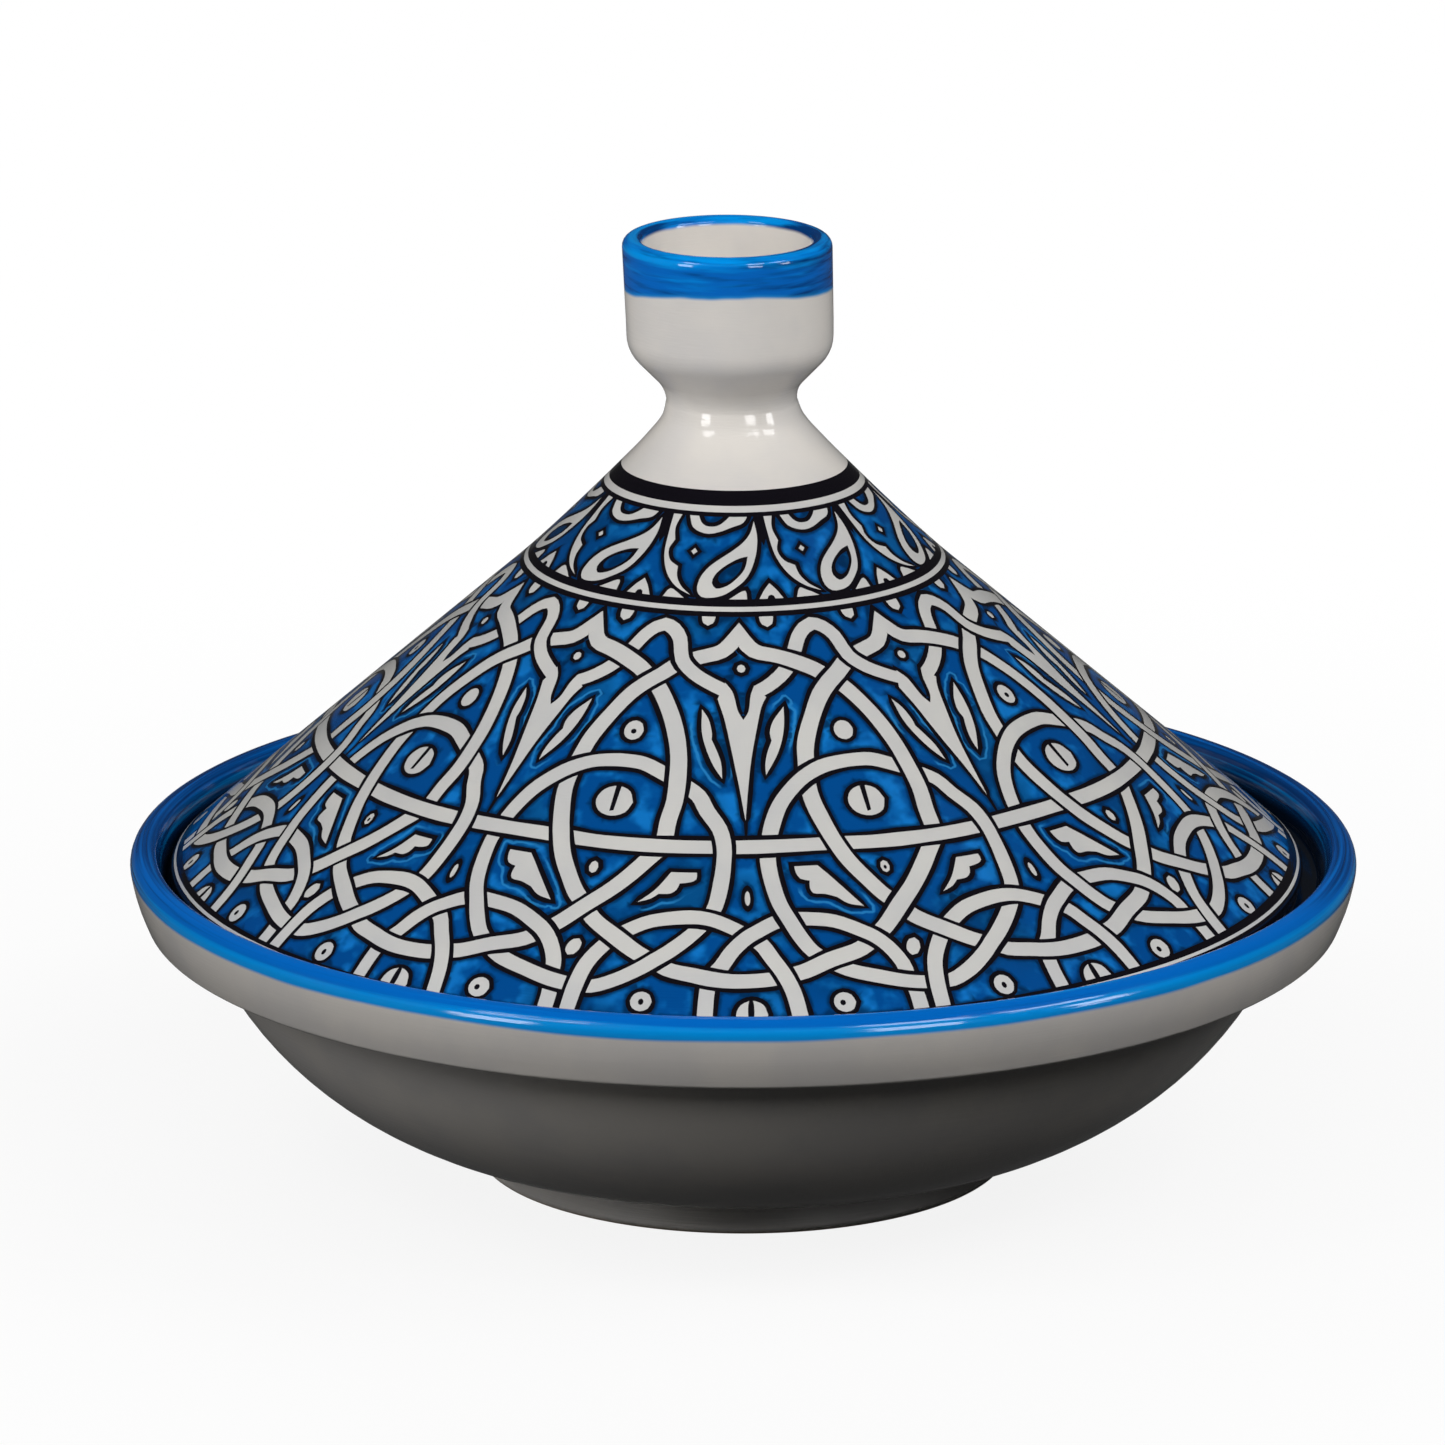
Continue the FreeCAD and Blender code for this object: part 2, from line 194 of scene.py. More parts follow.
seat_inner = LID_EDGE[0] - LID_WALL / math.cos(cone) + (LID_EDGE[1] - SEAT_HEIGHT) * math.tan(cone)
crown_height = SEAT_HEIGHT + seat_inner / math.tan(cone) - CROWN_ROUNDING / math.sin(cone)
HOLLOW_OUTLINE = arc((0.0, crown_height), CROWN_ROUNDING, 90.0, CONE_ANGLE)
HOLLOW_OUTLINE += rounded([
    (*HOLLOW_OUTLINE[-1], 0),
    (seat_inner, SEAT_HEIGHT, 1.5),
    (137.0, SEAT_HEIGHT, 1.2),
    (*LID_EDGE, 1.5),
    (*NECK_CURVE[0], 0),
])[1:-1]

waist_centre = (WAIST[0] + WAIST_TURN, WAIST[1])
flare = math.radians(FLARE_SLOPE)
flare_in = KNOB_BASE_RADIUS - FLARE_TURN
both_turns = WAIST_TURN + FLARE_TURN
flare_run = (flare_in - waist_centre[0] + both_turns * math.sin(flare)) / math.cos(flare)
flare_centre = (flare_in, WAIST[1] + both_turns * math.cos(flare) + flare_run * math.sin(flare))
neck_start = HOLLOW_OUTLINE[-1]
OUTSIDE_OUTLINE = stepped([neck_start, np.array(NECK_CURVE[0])], LONGEST_STEP / 2)[:-1]
OUTSIDE_OUTLINE += curve(NECK_CURVE + [WAIST], NECK_STEP)[:-1]
KNOB_OUTLINE = arc(waist_centre, WAIST_TURN, 180.0, 90.0 + FLARE_SLOPE)
KNOB_OUTLINE += arc(flare_centre, FLARE_TURN, FLARE_SLOPE - 90.0, 0.0)
KNOB_OUTLINE += rounded([
    (*KNOB_OUTLINE[-1], 0),
    (25.4, KNOB_TOP, 2.4),
    (20.5, KNOB_TOP, 2.2),
    (19.0, 203.5, 7.0),
    (0.0, 203.5, 0),
])[1:]


# Turned skins

class Skin:
    """A closed skin about the Z axis, gathered face by face with its paint and its flat map."""

    def __init__(self, full_length):
        self.full_length = full_length
        self.places = {}
        self.points, self.normals = [], []
        self.faces, self.maps, self.paints = [], [], []

    def vertex(self, angle, radius, height, normal):
        """The number of the point at an angle in radians; a point already there is used again."""
        point = (radius * math.sin(angle), -radius * math.cos(angle), height)
        key = tuple(round(value, SAME_PLACE) for value in point)
        if key not in self.places:
            self.places[key] = len(self.points)
            self.points.append(point)
            self.normals.append((normal[0] * math.sin(angle), -normal[0] * math.cos(angle), normal[1]))
        return self.places[key]

    def face(self, corners, flat, paint):
        self.faces.append(corners)
        self.maps += [(across, along / self.full_length) for across, along in flat]
        self.paints += paint

    def turn(self, outline, normals, start, paint):
        """The strip that an outline sweeps; start is its distance along the whole outline."""
        along = start + lengths(outline)
        angles = np.linspace(-math.pi, math.pi, COLUMNS + 1)
        for number in range(len(outline) - 1):
            rows = []
            for spot, normal in zip(outline[number:number + 2], normals[number:number + 2]):
                rows.append([self.vertex(angle, spot[0], spot[1], normal) for angle in angles[:-1]])
            for column in range(COLUMNS):
                following = (column + 1) % COLUMNS
                left, right = column / COLUMNS, (column + 1) / COLUMNS
                low, high = along[number], along[number + 1]
                corners = [rows[0][column], rows[0][following], rows[1][following], rows[1][column]]
                flat = [(left, low), (right, low), (right, high), (left, high)]
                kept = [index for index in range(4) if corners[index] != corners[index - 1]]
                flat = [flat[index] for index in kept]
                self.face([corners[index] for index in kept], flat, [paint] * len(kept))

    def build(self, name, material):
        mesh = bpy.data.meshes.new(name)
        mesh.from_pydata([Vector(point) * MM for point in self.points], [], self.faces)
        flat = mesh.uv_layers.new(name="OFBake")
        flat.data.foreach_set("uv", np.array(self.maps, np.float32).ravel())
        paint = mesh.color_attributes.new("paint", "FLOAT_COLOR", "CORNER")
        paint.data.foreach_set("color", np.array(self.paints, np.float32).ravel())
        mesh.polygons.foreach_set("use_smooth", [True] * len(mesh.polygons))
        mesh.normals_split_custom_set_from_vertices(self.normals)
        mesh.materials.append(material)
        made = bpy.data.objects.new(name, mesh)
        bpy.context.scene.collection.objects.link(made)
        return made


def outward(outline):
    """The outward direction at each point of an outline that is walked with the clay on its left."""
    steps = np.gradient(np.array(outline), axis=0)
    sides = [unit(np.array((step[1], -step[0]))) for step in steps]
    for number, spot in enumerate(outline):
        if spot[0] < TINY:
            sides[number] = np.array((0.0, math.copysign(1.0, sides[number][1])))
    return sides


# Paint codes for the corner colours: blue share, black share, and millimetres to the nearest black line
# and to the nearest leaf
FAR = 9.0
WHITE = (0.0, 0.0, FAR, FAR)
BLACK = (0.0, 1.0, FAR, FAR)
BLUE = (1.0, 0.0, FAR, FAR)


# The painted ground: angle round the axis, and slant distance up from the lid's edge

ground = stepped(OUTSIDE_OUTLINE, NECK_STEP)
ground_slant = np.hypot(*(neck_start - LID_EDGE)) + lengths(ground)
ground_radius = np.array(ground)[:, 0]
ground_height = np.array(ground)[:, 1]
# The angle-true height of the flat drawing, where one unit is the radius at that place
rises = np.diff(ground_slant) * 2 / (ground_radius[1:] + ground_radius[:-1])
ground_rise = np.concatenate([[0.0], np.cumsum(rises)])
PAINT_LOW = ground_slant[0]
PAINT_HIGH = 151.0


def radius_at(slant):
    return np.interp(slant, ground_slant, ground_radius)


def height_at(slant):
    return np.interp(slant, ground_slant, ground_height)


def to_flat(angles, slants):
    """Places in the angle-true flat drawing, which is round with the lid's edge outermost."""
    reach = np.exp(-np.interp(slants, ground_slant, ground_rise))
    turned = np.radians(angles)
    return np.column_stack([reach * np.sin(turned), -reach * np.cos(turned)])


def from_flat(spots):
    """Angles in radians and slants of places in the flat drawing."""
    angles = np.arctan2(spots[:, 0], -spots[:, 1])
    slants = np.interp(-np.log(np.hypot(spots[:, 0], spots[:, 1])), ground_rise, ground_slant)
    return angles, slants


def degree_at(slant):
    """Millimetres in one degree round the lid."""
    return math.radians(1.0) * float(radius_at(slant))


class Spacing:
    """The painter's uneven spacing of one repeated motif round the lid."""

    def __init__(self, marks, count, width):
        even = (marks[0] + 360.0 - marks[-1]) / (count - len(marks) + 1)
        self.marks = list(marks) + [marks[-1] + even * step for step in range(1, count - len(marks) + 1)]
        self.count, self.width = count, width

    def angle(self, copy, across):
        """Degrees from the front of a place given in the motif's own degrees."""
        place = copy + np.array(across, float) / self.width
        turn = np.floor(place / self.count)
        inside = place - turn * self.count
        ring = self.marks + [self.marks[0] + 360.0]
        return np.interp(inside, range(self.count + 1), ring) + 360.0 * turn


# Hand tremor of the brush: how far it strays, and how often
STRAY = 0.45
STRAY_PERIOD = 28.0
WIDTH_PERIOD = 7.0
# How uneven the widths of a band, of its borders and of a shape's border are
BAND_UNEVEN, BORDER_UNEVEN, SHAPE_UNEVEN = 0.05, 0.25, 0.2
# A mitre divides a width by the cosine of half the turn, which is never taken as less than this
BAND_MITRE, SHAPE_MITRE = 0.45, 0.7
WIDTH_SEED, STRAY_SEED = 7, 11
painter = np.random.default_rng(WIDTH_SEED)
noise.seed_set(STRAY_SEED)


def strayed(angles, slants):
    """The same places, moved by the unsteadiness of the hand."""
    moved = []
    for angle, slant in zip(angles, slants):
        radius = float(radius_at(slant)) / STRAY_PERIOD
        turned = math.radians(angle)
        place = Vector((radius * math.sin(turned), radius * math.cos(turned), slant / STRAY_PERIOD))
        stray = noise.noise_vector(place) * STRAY
        moved.append((angle + stray.x / degree_at(slant), slant + stray.y))
    return np.array(moved)


def unsteady(distances, share):
    """A factor near 1 along a brush stroke, for its width."""
    knots = np.arange(0.0, distances[-1] + 2 * WIDTH_PERIOD, WIDTH_PERIOD)
    return 1.0 + share * np.interp(distances, knots, painter.uniform(-1.0, 1.0, len(knots)))


def sides_of(line, widths, closed=False, sharpest=BAND_MITRE):
    """The line moved sideways to its left, by widths in millimetres, with corners mitred up to a limit."""
    scale = np.array([degree_at(slant) for slant in line[:, 1]])
    steps = np.roll(line, -1, axis=0) - line
    flat_steps = np.column_stack([steps[:, 0] * scale, steps[:, 1]])
    sizes = np.maximum(np.hypot(*flat_steps.T), TINY)
    sides = np.column_stack([-flat_steps[:, 1], flat_steps[:, 0]]) / sizes[:, None]
    before = np.roll(sides, 1, axis=0)
    if not closed:
        sides[-1], before[0] = before[-1], sides[0]
    middle = sides + before
    middle /= np.maximum(np.hypot(*middle.T), TINY)[:, None]
    mitre = 1.0 / np.maximum((middle * sides).sum(axis=1), sharpest)
    moved = middle * (widths * mitre)[:, None]
    return line + np.column_stack([moved[:, 0] / scale, moved[:, 1]])


class Mark:
    """One painted mark: the area of its white, that area with its black border, and its height."""

    def __init__(self, group, white, border, line=None, levels=None, level=0.0):
        self.group, self.white, self.border = group, white, border
        self.line, self.levels, self.level = line, levels, level

    def height_near(self, spot):
        """How high this mark lies in the interlace, near a spot of the flat drawing."""
        if self.line is None:
            return self.level
        return self.levels[np.argmin(((self.line - spot) ** 2).sum(axis=1))]


BORDER = 1.12
SHAPE_BORDER = 1.05
LEAF_BORDER = 1.15
EYE_BORDER = 1.05
STRAND_STEP = 1.7
SHAPE_STEP = 1.0
# Heights in the interlace, where bands lie between -1 and 1: shapes, blots, and the black and white rings
SHAPE_LEVEL, BLOT_LEVEL, RING_LEVEL, RING_WHITE_LEVEL = -3.0, -2.0, 3.0, 4.0
SPIKE_LEVEL, SPIKE_LINE_LEVEL = 0.0, -3.5
PETAL_LEVEL, DROP_LEVEL, WEDGE_LEVEL = -2.6, -2.4, -2.8


def strand(group, runs, spacing, copy, width):
    """A white band with black borders, along runs of (across, slant) or (across, slant, height)."""
    line, levels = [], []
    for run in runs:
        points = np.array([spot[:2] for spot in run])
        drawn = np.array(curve(points, STRAND_STEP, degree_at))
        scale = degree_at(points[:, 1].mean())
        stretch = np.array((scale, 1.0))
        along = lengths(drawn * stretch)
        level = np.zeros(len(drawn))
        known = [spot for spot in run if len(spot) == 3]
        if known:
            nearest = [np.argmin((((drawn - spot[:2]) * stretch) ** 2).sum(axis=1)) for spot in known]
            level = np.interp(along, along[nearest], [spot[2] for spot in known])
        skip = 1 if line else 0
        line += list(drawn[skip:])
        levels += list(level[skip:])
    line = np.array(line)
    placed = strayed(spacing.angle(copy, line[:, 0]), line[:, 1])
    distances = lengths(placed * np.array((degree_at(placed[:, 1].mean()), 1.0)))
    half = width / 2 * unsteady(distances, BAND_UNEVEN)
    left_edge = half + BORDER * unsteady(distances, BORDER_UNEVEN)
    right_edge = half + BORDER * unsteady(distances, BORDER_UNEVEN)
    white = np.vstack([sides_of(placed, half), sides_of(placed, -half)[::-1]])
    border = np.vstack([sides_of(placed, left_edge), sides_of(placed, -right_edge)[::-1]])
    return Mark(group, white, border, to_flat(placed[:, 0], placed[:, 1]), np.array(levels))


def outlined(runs, spacing, copy):
    """A closed outline through runs of (across, slant), each drawn on to the first corner of the next."""
    line = []
    for run, following in zip(runs, runs[1:] + runs[:1]):
        spots = run + following[:1]
        straight = len(spots) == 2
        drawn = stepped(as_points(spots), SHAPE_STEP) if straight else curve(spots, SHAPE_STEP, degree_at)
        line += drawn[:-1]
    line = np.array(line)
    return strayed(spacing.angle(copy, line[:, 0]), line[:, 1])


def anticlockwise(line):
    flat = to_flat(line[:, 0], line[:, 1])
    following = np.roll(flat, -1, axis=0)
    area = (flat[:, 0] * following[:, 1] - flat[:, 1] * following[:, 0]).sum()
    return line if area > 0 else line[::-1]


def shape(runs, spacing, copy, level=SHAPE_LEVEL, group=None, border=SHAPE_BORDER):
    """A white shape with a black border."""
    line = anticlockwise(outlined(runs, spacing, copy))
    distances = lengths(line * np.array((degree_at(line[:, 1].mean()), 1.0)))
    edge = sides_of(line, -border * unsteady(distances, SHAPE_UNEVEN), closed=True, sharpest=SHAPE_MITRE)
    return Mark(group, line, edge, level=level)


def blot(runs, spacing, copy, level=BLOT_LEVEL):
    """A black shape."""
    return Mark(None, None, anticlockwise(outlined(runs, spacing, copy)), level=level)


def cored(runs, spacing, copy, share, core):
    """A black shape with a white or blue core, a smaller copy of it."""
    line = anticlockwise(outlined(runs, spacing, copy))
    middle = line.mean(axis=0)
    return Mark(core, middle + (line - middle) * np.array(share), line, level=BLOT_LEVEL)


def oval(across, slant, wide, tall, lean=0.0):
    """The run of a dot, sized in millimetres, leaning by degrees."""
    scale = degree_at(slant)
    turned = math.radians(lean)
    spots = []
    for angle in np.radians(np.arange(0, 360, 45)):
        x, y = wide / 2 * math.cos(angle), tall / 2 * math.sin(angle)
        spots.append((across + (x * math.cos(turned) - y * math.sin(turned)) / scale,
                      slant + x * math.sin(turned) + y * math.cos(turned)))
    return [spots]


# The main field: ten stars between ten eyes. Across is degrees from a star's axis, in a motif 36.9
# degrees wide, and the third number says that a strand passes over (1) or under (-1) another there.

FIELD = Spacing([-72.6, -36.9, 0.8, 37.9, 76.3], 10, 36.9)
OVER, UNDER = 1.0, -1.0

# The great loop, in two lengths that meet where it is hidden: up the far side of the left eye and over
# the star in a pointed arch, then down the far side of the right eye and back along the plait at the foot
LOOP_RISE = [
    (-18.7, 32.5, UNDER), (-19.9, 35.0), (-21.6, 40.0), (-23.2, 45.0), (-24.4, 50.0, OVER), (-25.4, 55.0),
    (-26.5, 62.6), (-26.6, 68.0, UNDER), (-26.3, 72.8), (-25.7, 78.4), (-23.7, 85.5), (-21.1, 91.6),
    (-18.4, 95.2, OVER), (-16.1, 97.4), (-12.5, 100.9, UNDER), (-7.9, 102.9), (-3.6, 104.6), (0.3, 109.5),
]
LOOP_SHOULDER = [
    (0.3, 109.5), (3.6, 104.8), (7.8, 103.4), (11.0, 102.1, OVER), (16.1, 99.0), (18.6, 96.5, UNDER),
]
LOOP_FALL = [
    (18.6, 96.5, UNDER), (21.1, 93.6), (23.9, 87.5), (25.7, 81.4), (26.8, 75.3), (27.2, 70.0, OVER),
    (27.3, 62.6), (26.8, 57.0), (26.4, 49.8, UNDER), (24.7, 45.5), (21.3, 37.5), (18.6, 32.0, OVER),
    (16.1, 26.5), (14.7, 24.0, UNDER), (12.8, 21.0), (9.2, 18.3, OVER), (6.2, 15.3), (4.2, 14.2, UNDER),
    (2.7, 13.4), (-1.3, 13.0), (-3.6, 13.6, OVER), (-5.2, 14.4), (-7.9, 15.8), (-9.4, 17.8, UNDER),
    (-11.2, 19.8), (-14.0, 23.9, OVER), (-17.1, 28.5), (-18.7, 32.5, UNDER),
]
# The ring round each eye, in degrees from the eye's own axis, also in two lengths
EYE_AXIS = 18.45
RING_FOOT = [
    (8.9, 67.8, UNDER), (12.2, 64.2), (13.6, 60.0), (15.4, 55.0), (16.05, 50.0, OVER), (16.05, 45.0),
    (15.8, 40.0), (15.2, 33.5), (14.5, 30.2, UNDER), (12.8, 25.6), (10.4, 20.5), (9.1, 18.2, OVER),
    (8.05, 16.2), (5.45, 12.2), (3.1, 9.9), (1.4, 9.9, UNDER), (-1.4, 10.9, OVER), (-4.2, 12.8),
    (-7.6, 15.4), (-9.2, 17.6, UNDER), (-11.0, 20.9), (-12.2, 25.0), (-13.2, 29.4, OVER), (-14.2, 34.0),
    (-14.9, 40.0), (-15.25, 46.0), (-15.1, 49.8, UNDER),
]
RING_TOP = [
    (-15.1, 49.8, UNDER), (-14.5, 55.0), (-13.05, 61.1), (-11.15, 65.2), (-8.6, 68.8, OVER),
    (-5.45, 71.3), (-2.5, 72.2), (0.0, 72.4), (3.0, 72.0), (6.2, 69.9), (8.9, 67.8, UNDER),
]
BELT = [
    (-2.4, 49.8, UNDER), (3.35, 49.9, OVER), (12.5, 50.0, UNDER), (18.45, 49.7), (26.5, 49.6, OVER),
    (34.5, 49.8, UNDER),
]
LEG_FOOT = 1.8
ARCH_LEFT = [
    (-17.3, LEG_FOOT), (-17.0, 10.0, OVER), (-16.4, 16.0), (-15.3, 20.5), (-14.2, 23.6, UNDER),
    (-12.7, 26.2), (-10.4, 28.9), (-6.0, 30.4), (-4.1, 30.0, OVER), (-2.9, 29.2), (-0.9, 27.1),
    (0.5, 25.2, UNDER), (1.9, 23.0), (3.0, 19.0), (4.0, 15.0, OVER), (4.8, 10.0), (5.4, LEG_FOOT),
]
ARCH_RIGHT = [
    (-3.9, LEG_FOOT), (-3.8, 9.5), (-3.5, 13.6, UNDER), (-2.4, 17.0), (-1.2, 21.3), (0.4, 24.9, OVER),
    (1.6, 26.6), (3.5, 28.9), (5.2, 29.8, UNDER), (7.1, 29.8), (10.4, 28.8), (13.5, 25.5),
    (14.6, 23.9, OVER), (15.8, 21.0), (16.9, 16.0), (17.1, 11.6, UNDER), (17.4, 8.0), (17.4, LEG_FOOT),
]
# The hook runs from one spike's right arm to the next spike's left arm
HOOK = [
    (3.6, 93.2), (5.6, 94.6), (8.3, 97.2), (11.0, 100.8, UNDER), (13.0, 105.1), (14.5, 108.4),
    (16.6, 110.8), (18.7, 111.8), (21.3, 110.7), (23.4, 107.9), (24.2, 104.3), (24.8, 102.0, OVER),
    (25.5, 100.7), (27.8, 98.0), (30.7, 95.7), (33.8, 93.6),
]
SPIKE = [
    [(-4.2, 91.1)], [(-2.8, 95.7), (-1.4, 93.2), (-0.3, 87.5)], [(0.6, 85.2), (1.6, 87.5), (2.2, 92.2)],
    [(2.9, 94.6)], [(5.2, 91.6), (4.2, 89.1), (3.1, 83.5), (1.9, 75.3), (1.1, 66.0)], [(0.5, 57.4),
    (-0.3, 67.5), (-1.6, 77.6), (-2.9, 85.8)],
]
SPIKE_LINE = [[(0.2, 59.0)], [(0.9, 59.0)], [(0.6, 51.5)], [(0.3, 51.5)]]
EYE_SLIT = [[(18.1, 65.8)], [(18.95, 65.8)], [(18.7, 58.4)], [(18.1, 58.1)]]
STRAND_WIDTH, ARCH_WIDTH, HOOK_WIDTH = 3.95, 3.65, 3.45

UPPER_LEAF_LEFT = [
    [(-7.0, 88.2), (-5.7, 85.5), (-4.9, 81.4)], [(-4.9, 79.8), (-4.0, 77.0), (-3.1, 73.4)], [(-2.8, 69.0),
    (-4.2, 72.3), (-5.7, 77.2), (-6.7, 82.0)],
]
UPPER_LEAF_RIGHT = [
    [(8.3, 88.8), (8.0, 84.5), (7.4, 80.4), (6.2, 75.6)], [(4.0, 69.8), (4.0, 72.5), (4.5, 76.0)],
    [(5.4, 79.3), (5.2, 81.4), (6.0, 84.7)],
]
LOWER_LEAF_LEFT = [
    [(-8.9, 42.6)], [(-5.7, 42.6), (-5.7, 40.8), (-6.4, 40.0)], [(-7.7, 39.6), (-8.0, 37.9),
    (-8.7, 36.8)], [(-10.1, 36.6), (-10.9, 35.2)], [(-12.4, 34.0), (-10.6, 37.6)],
]
LOWER_LEAF_RIGHT = [
    [(6.5, 44.1)], [(9.5, 44.1), (10.7, 41.4), (12.3, 37.4)], [(14.2, 32.3), (12.4, 33.3)], [(11.2, 35.2),
    (9.8, 36.2), (8.4, 36.6), (8.1, 38.0)], [(8.2, 40.0), (7.1, 40.6), (6.6, 42.4)],
]


def field_marks(copy):
    """Every mark of one star and the eye to its right."""
    def band(group, runs, width=STRAND_WIDTH):
        return strand(group, runs, FIELD, copy, width)

    def eyewards(run):
        return [(spot[0] + EYE_AXIS, *spot[1:]) for spot in run]

    def dot(*measures):
        return shape(oval(*measures), FIELD, copy)

    def pupil(*measures):
        return blot(oval(*measures), FIELD, copy)

    marks = [
        band("loop", [LOOP_RISE, LOOP_SHOULDER]), band("loop", [LOOP_FALL]),
        band("ring", [eyewards(RING_FOOT)], ARCH_WIDTH), band("ring", [eyewards(RING_TOP)], ARCH_WIDTH),
        band("belt", [BELT], ARCH_WIDTH),
        band("arch left", [ARCH_LEFT], ARCH_WIDTH), band("arch right", [ARCH_RIGHT], ARCH_WIDTH),
        band("hook", [HOOK], HOOK_WIDTH),
        shape(SPIKE, FIELD, copy, level=SPIKE_LEVEL, group="hook"),
        blot(SPIKE_LINE, FIELD, copy, level=SPIKE_LINE_LEVEL),
    ]
    for leaf in (UPPER_LEAF_LEFT, UPPER_LEAF_RIGHT, LOWER_LEAF_LEFT, LOWER_LEAF_RIGHT):
        marks.append(shape(leaf, FIELD, copy, group="leaf", border=LEAF_BORDER))
    # The star's dot, the half dots under the ring, the drop below the spike, and the half eye at the edge
    marks += [
        dot(0.5, 99.7, 2.0, 2.3), dot(-7.2, 114.6, 3.2, 5.4), dot(7.4, 114.4, 3.3, 5.6),
        cored(oval(0.5, 35.6, 3.0, 7.4), FIELD, copy, (0.42, 0.54), "white"), dot(0.6, 3.6, 7.4, 8.0),
        pupil(0.5, 4.6, 1.5, 7.6),
    ]
    # The eye, its dots above and below, and the dots along the edge
    marks += [
        shape(oval(EYE_AXIS, 61.0, 9.0, 8.3), FIELD, copy, border=EYE_BORDER), blot(EYE_SLIT, FIELD, copy),
        dot(18.3, 81.2, 4.7, 5.6),
        dot(18.2, 42.6, 2.2, 3.4), dot(18.6, 20.2, 3.3, 5.0, -20.0), dot(-10.1, 6.6, 5.0, 5.4),
        pupil(-10.1, 6.5, 1.3, 1.8), dot(9.9, 6.4, 5.2, 5.4), pupil(9.7, 6.3, 1.4, 1.6),
    ]
    if copy % 2:
        marks.append(pupil(18.3, 80.9, 1.4, 1.5))
    else:
        marks.append(pupil(18.2, 42.4, 0.8, 1.2))
    return marks


# The frieze between the two rings, in degrees from a motif's left boundary, 38.7 degrees wide
FRIEZE = Spacing([-70.8, -28.3, 10.4, 48.6], 9, 38.7)
PETAL = [
    [(1.7, 143.0)], [(5.9, 143.0), (4.5, 139.0)], [(5.9, 135.4), (4.7, 132.8), (6.4, 129.8)],
    [(9.7, 128.3), (10.2, 125.7), (12.2, 123.0)], [(15.6, 120.6), (11.6, 122.2), (8.3, 124.5),
    (5.6, 127.6), (3.5, 131.7), (2.4, 137.5)],
]
CRESCENT = [
    [(8.7, 143.0), (11.6, 139.2), (14.9, 138.0), (18.2, 137.6), (22.1, 138.1), (27.0, 139.4),
    (31.7, 140.6)], [(34.0, 143.0)], [(27.0, 143.0), (23.7, 140.8), (21.0, 139.7), (16.6, 139.7),
    (14.4, 140.8)], [(12.6, 143.0)],
]
DROP = [
    [(36.1, 140.9), (34.2, 137.8), (31.7, 135.6), (27.0, 132.9), (22.1, 130.2), (19.3, 128.0),
    (17.5, 125.1), (17.4, 121.9), (18.9, 120.2), (21.6, 120.0), (24.8, 120.7), (28.1, 122.6),
    (31.7, 125.4), (34.4, 129.5), (36.1, 133.7), (36.7, 137.3)],
]
DROP_HEART = [
    [(32.6, 131.5), (29.6, 131.0), (24.8, 128.8), (22.1, 126.4), (21.5, 124.2), (22.9, 122.7),
    (25.9, 123.4), (28.9, 125.5), (31.4, 128.1)],
]
CHEVRON = [[(-3.6, 119.3), (-1.7, 122.2)], [(0.0, 123.9), (1.7, 122.2)], [(3.6, 119.3)]]
WEDGE = [[(-2.6, 143.0), (-1.4, 137.0)], [(0.1, 134.2), (1.6, 137.0)], [(1.9, 143.0)]]
SLIVER_LEFT = [[(7.4, 119.3), (9.2, 122.0)], [(14.5, 119.3)]]
SLIVER_RIGHT = [[(26.2, 119.3), (31.4, 122.1)], [(31.9, 119.3)]]
SPECK = [[(11.3, 132.7)], [(14.1, 134.9)], [(16.9, 132.7)], [(14.1, 130.6)]]


def frieze_marks(copy):
    """Every mark of one leaf-and-drop motif."""
    marks = [shape(runs, FRIEZE, copy) for runs in (SLIVER_LEFT, SLIVER_RIGHT, CHEVRON, CRESCENT)]
    marks += [shape(PETAL, FRIEZE, copy, level=PETAL_LEVEL), shape(DROP, FRIEZE, copy, level=DROP_LEVEL)]
    marks.append(cored(DROP_HEART, FRIEZE, copy, (0.68, 0.66), "blue"))
    marks += [blot(WEDGE, FRIEZE, copy, level=WEDGE_LEVEL), blot(oval(0.0, 119.6, 1.9, 2.2), FRIEZE, copy)]
    marks.append(cored(SPECK, FRIEZE, copy, (0.4, 0.4), "white"))
    return marks


# Bands turned on the wheel: lowest and highest slant, and whether they are white
WHEEL_BANDS = [
    (142.3, 149.5, False), (143.5, 145.3, True), (114.6, 119.5, False), (116.05, 117.4, True),
    (1.5, 2.9, False), (1.5, 2.3, True),
]
BAND_SECTORS = 12
BAND_STEP = 2.0
# The black line along the edge is narrowest at this angle, and at most this much wider elsewhere
EDGE_NARROW_AT = -12.0
EDGE_SWELL = 1.9


def swollen(angle):
    turned = math.radians(angle - EDGE_NARROW_AT)
    return EDGE_SWELL * min(1.0 - math.cos(turned), 1.0)


def wheel_marks():
    """Every band turned on the wheel, in sectors."""
    marks = []
    for low, high, white in WHEEL_BANDS:
        count = max(4, round(2 * math.pi * float(radius_at(low)) / BAND_SECTORS / BAND_STEP))
        for sector in range(BAND_SECTORS):
            angles = np.linspace(sector, sector + 1, count) * 360.0 / BAND_SECTORS - 180.0
            edge_line = low == WHEEL_BANDS[-1][0] and not white
            tops = [high + swollen(angle) * edge_line for angle in angles]
            ring = [(angle, low) for angle in angles] + list(zip(angles, tops))[::-1]
            area = anticlockwise(np.array(ring))
            level = RING_WHITE_LEVEL if white else RING_LEVEL
            marks.append(Mark(None, area if white else None, area, level=level))
    return marks


# The painted skin: the flat drawing is cut into triangles along every painted edge

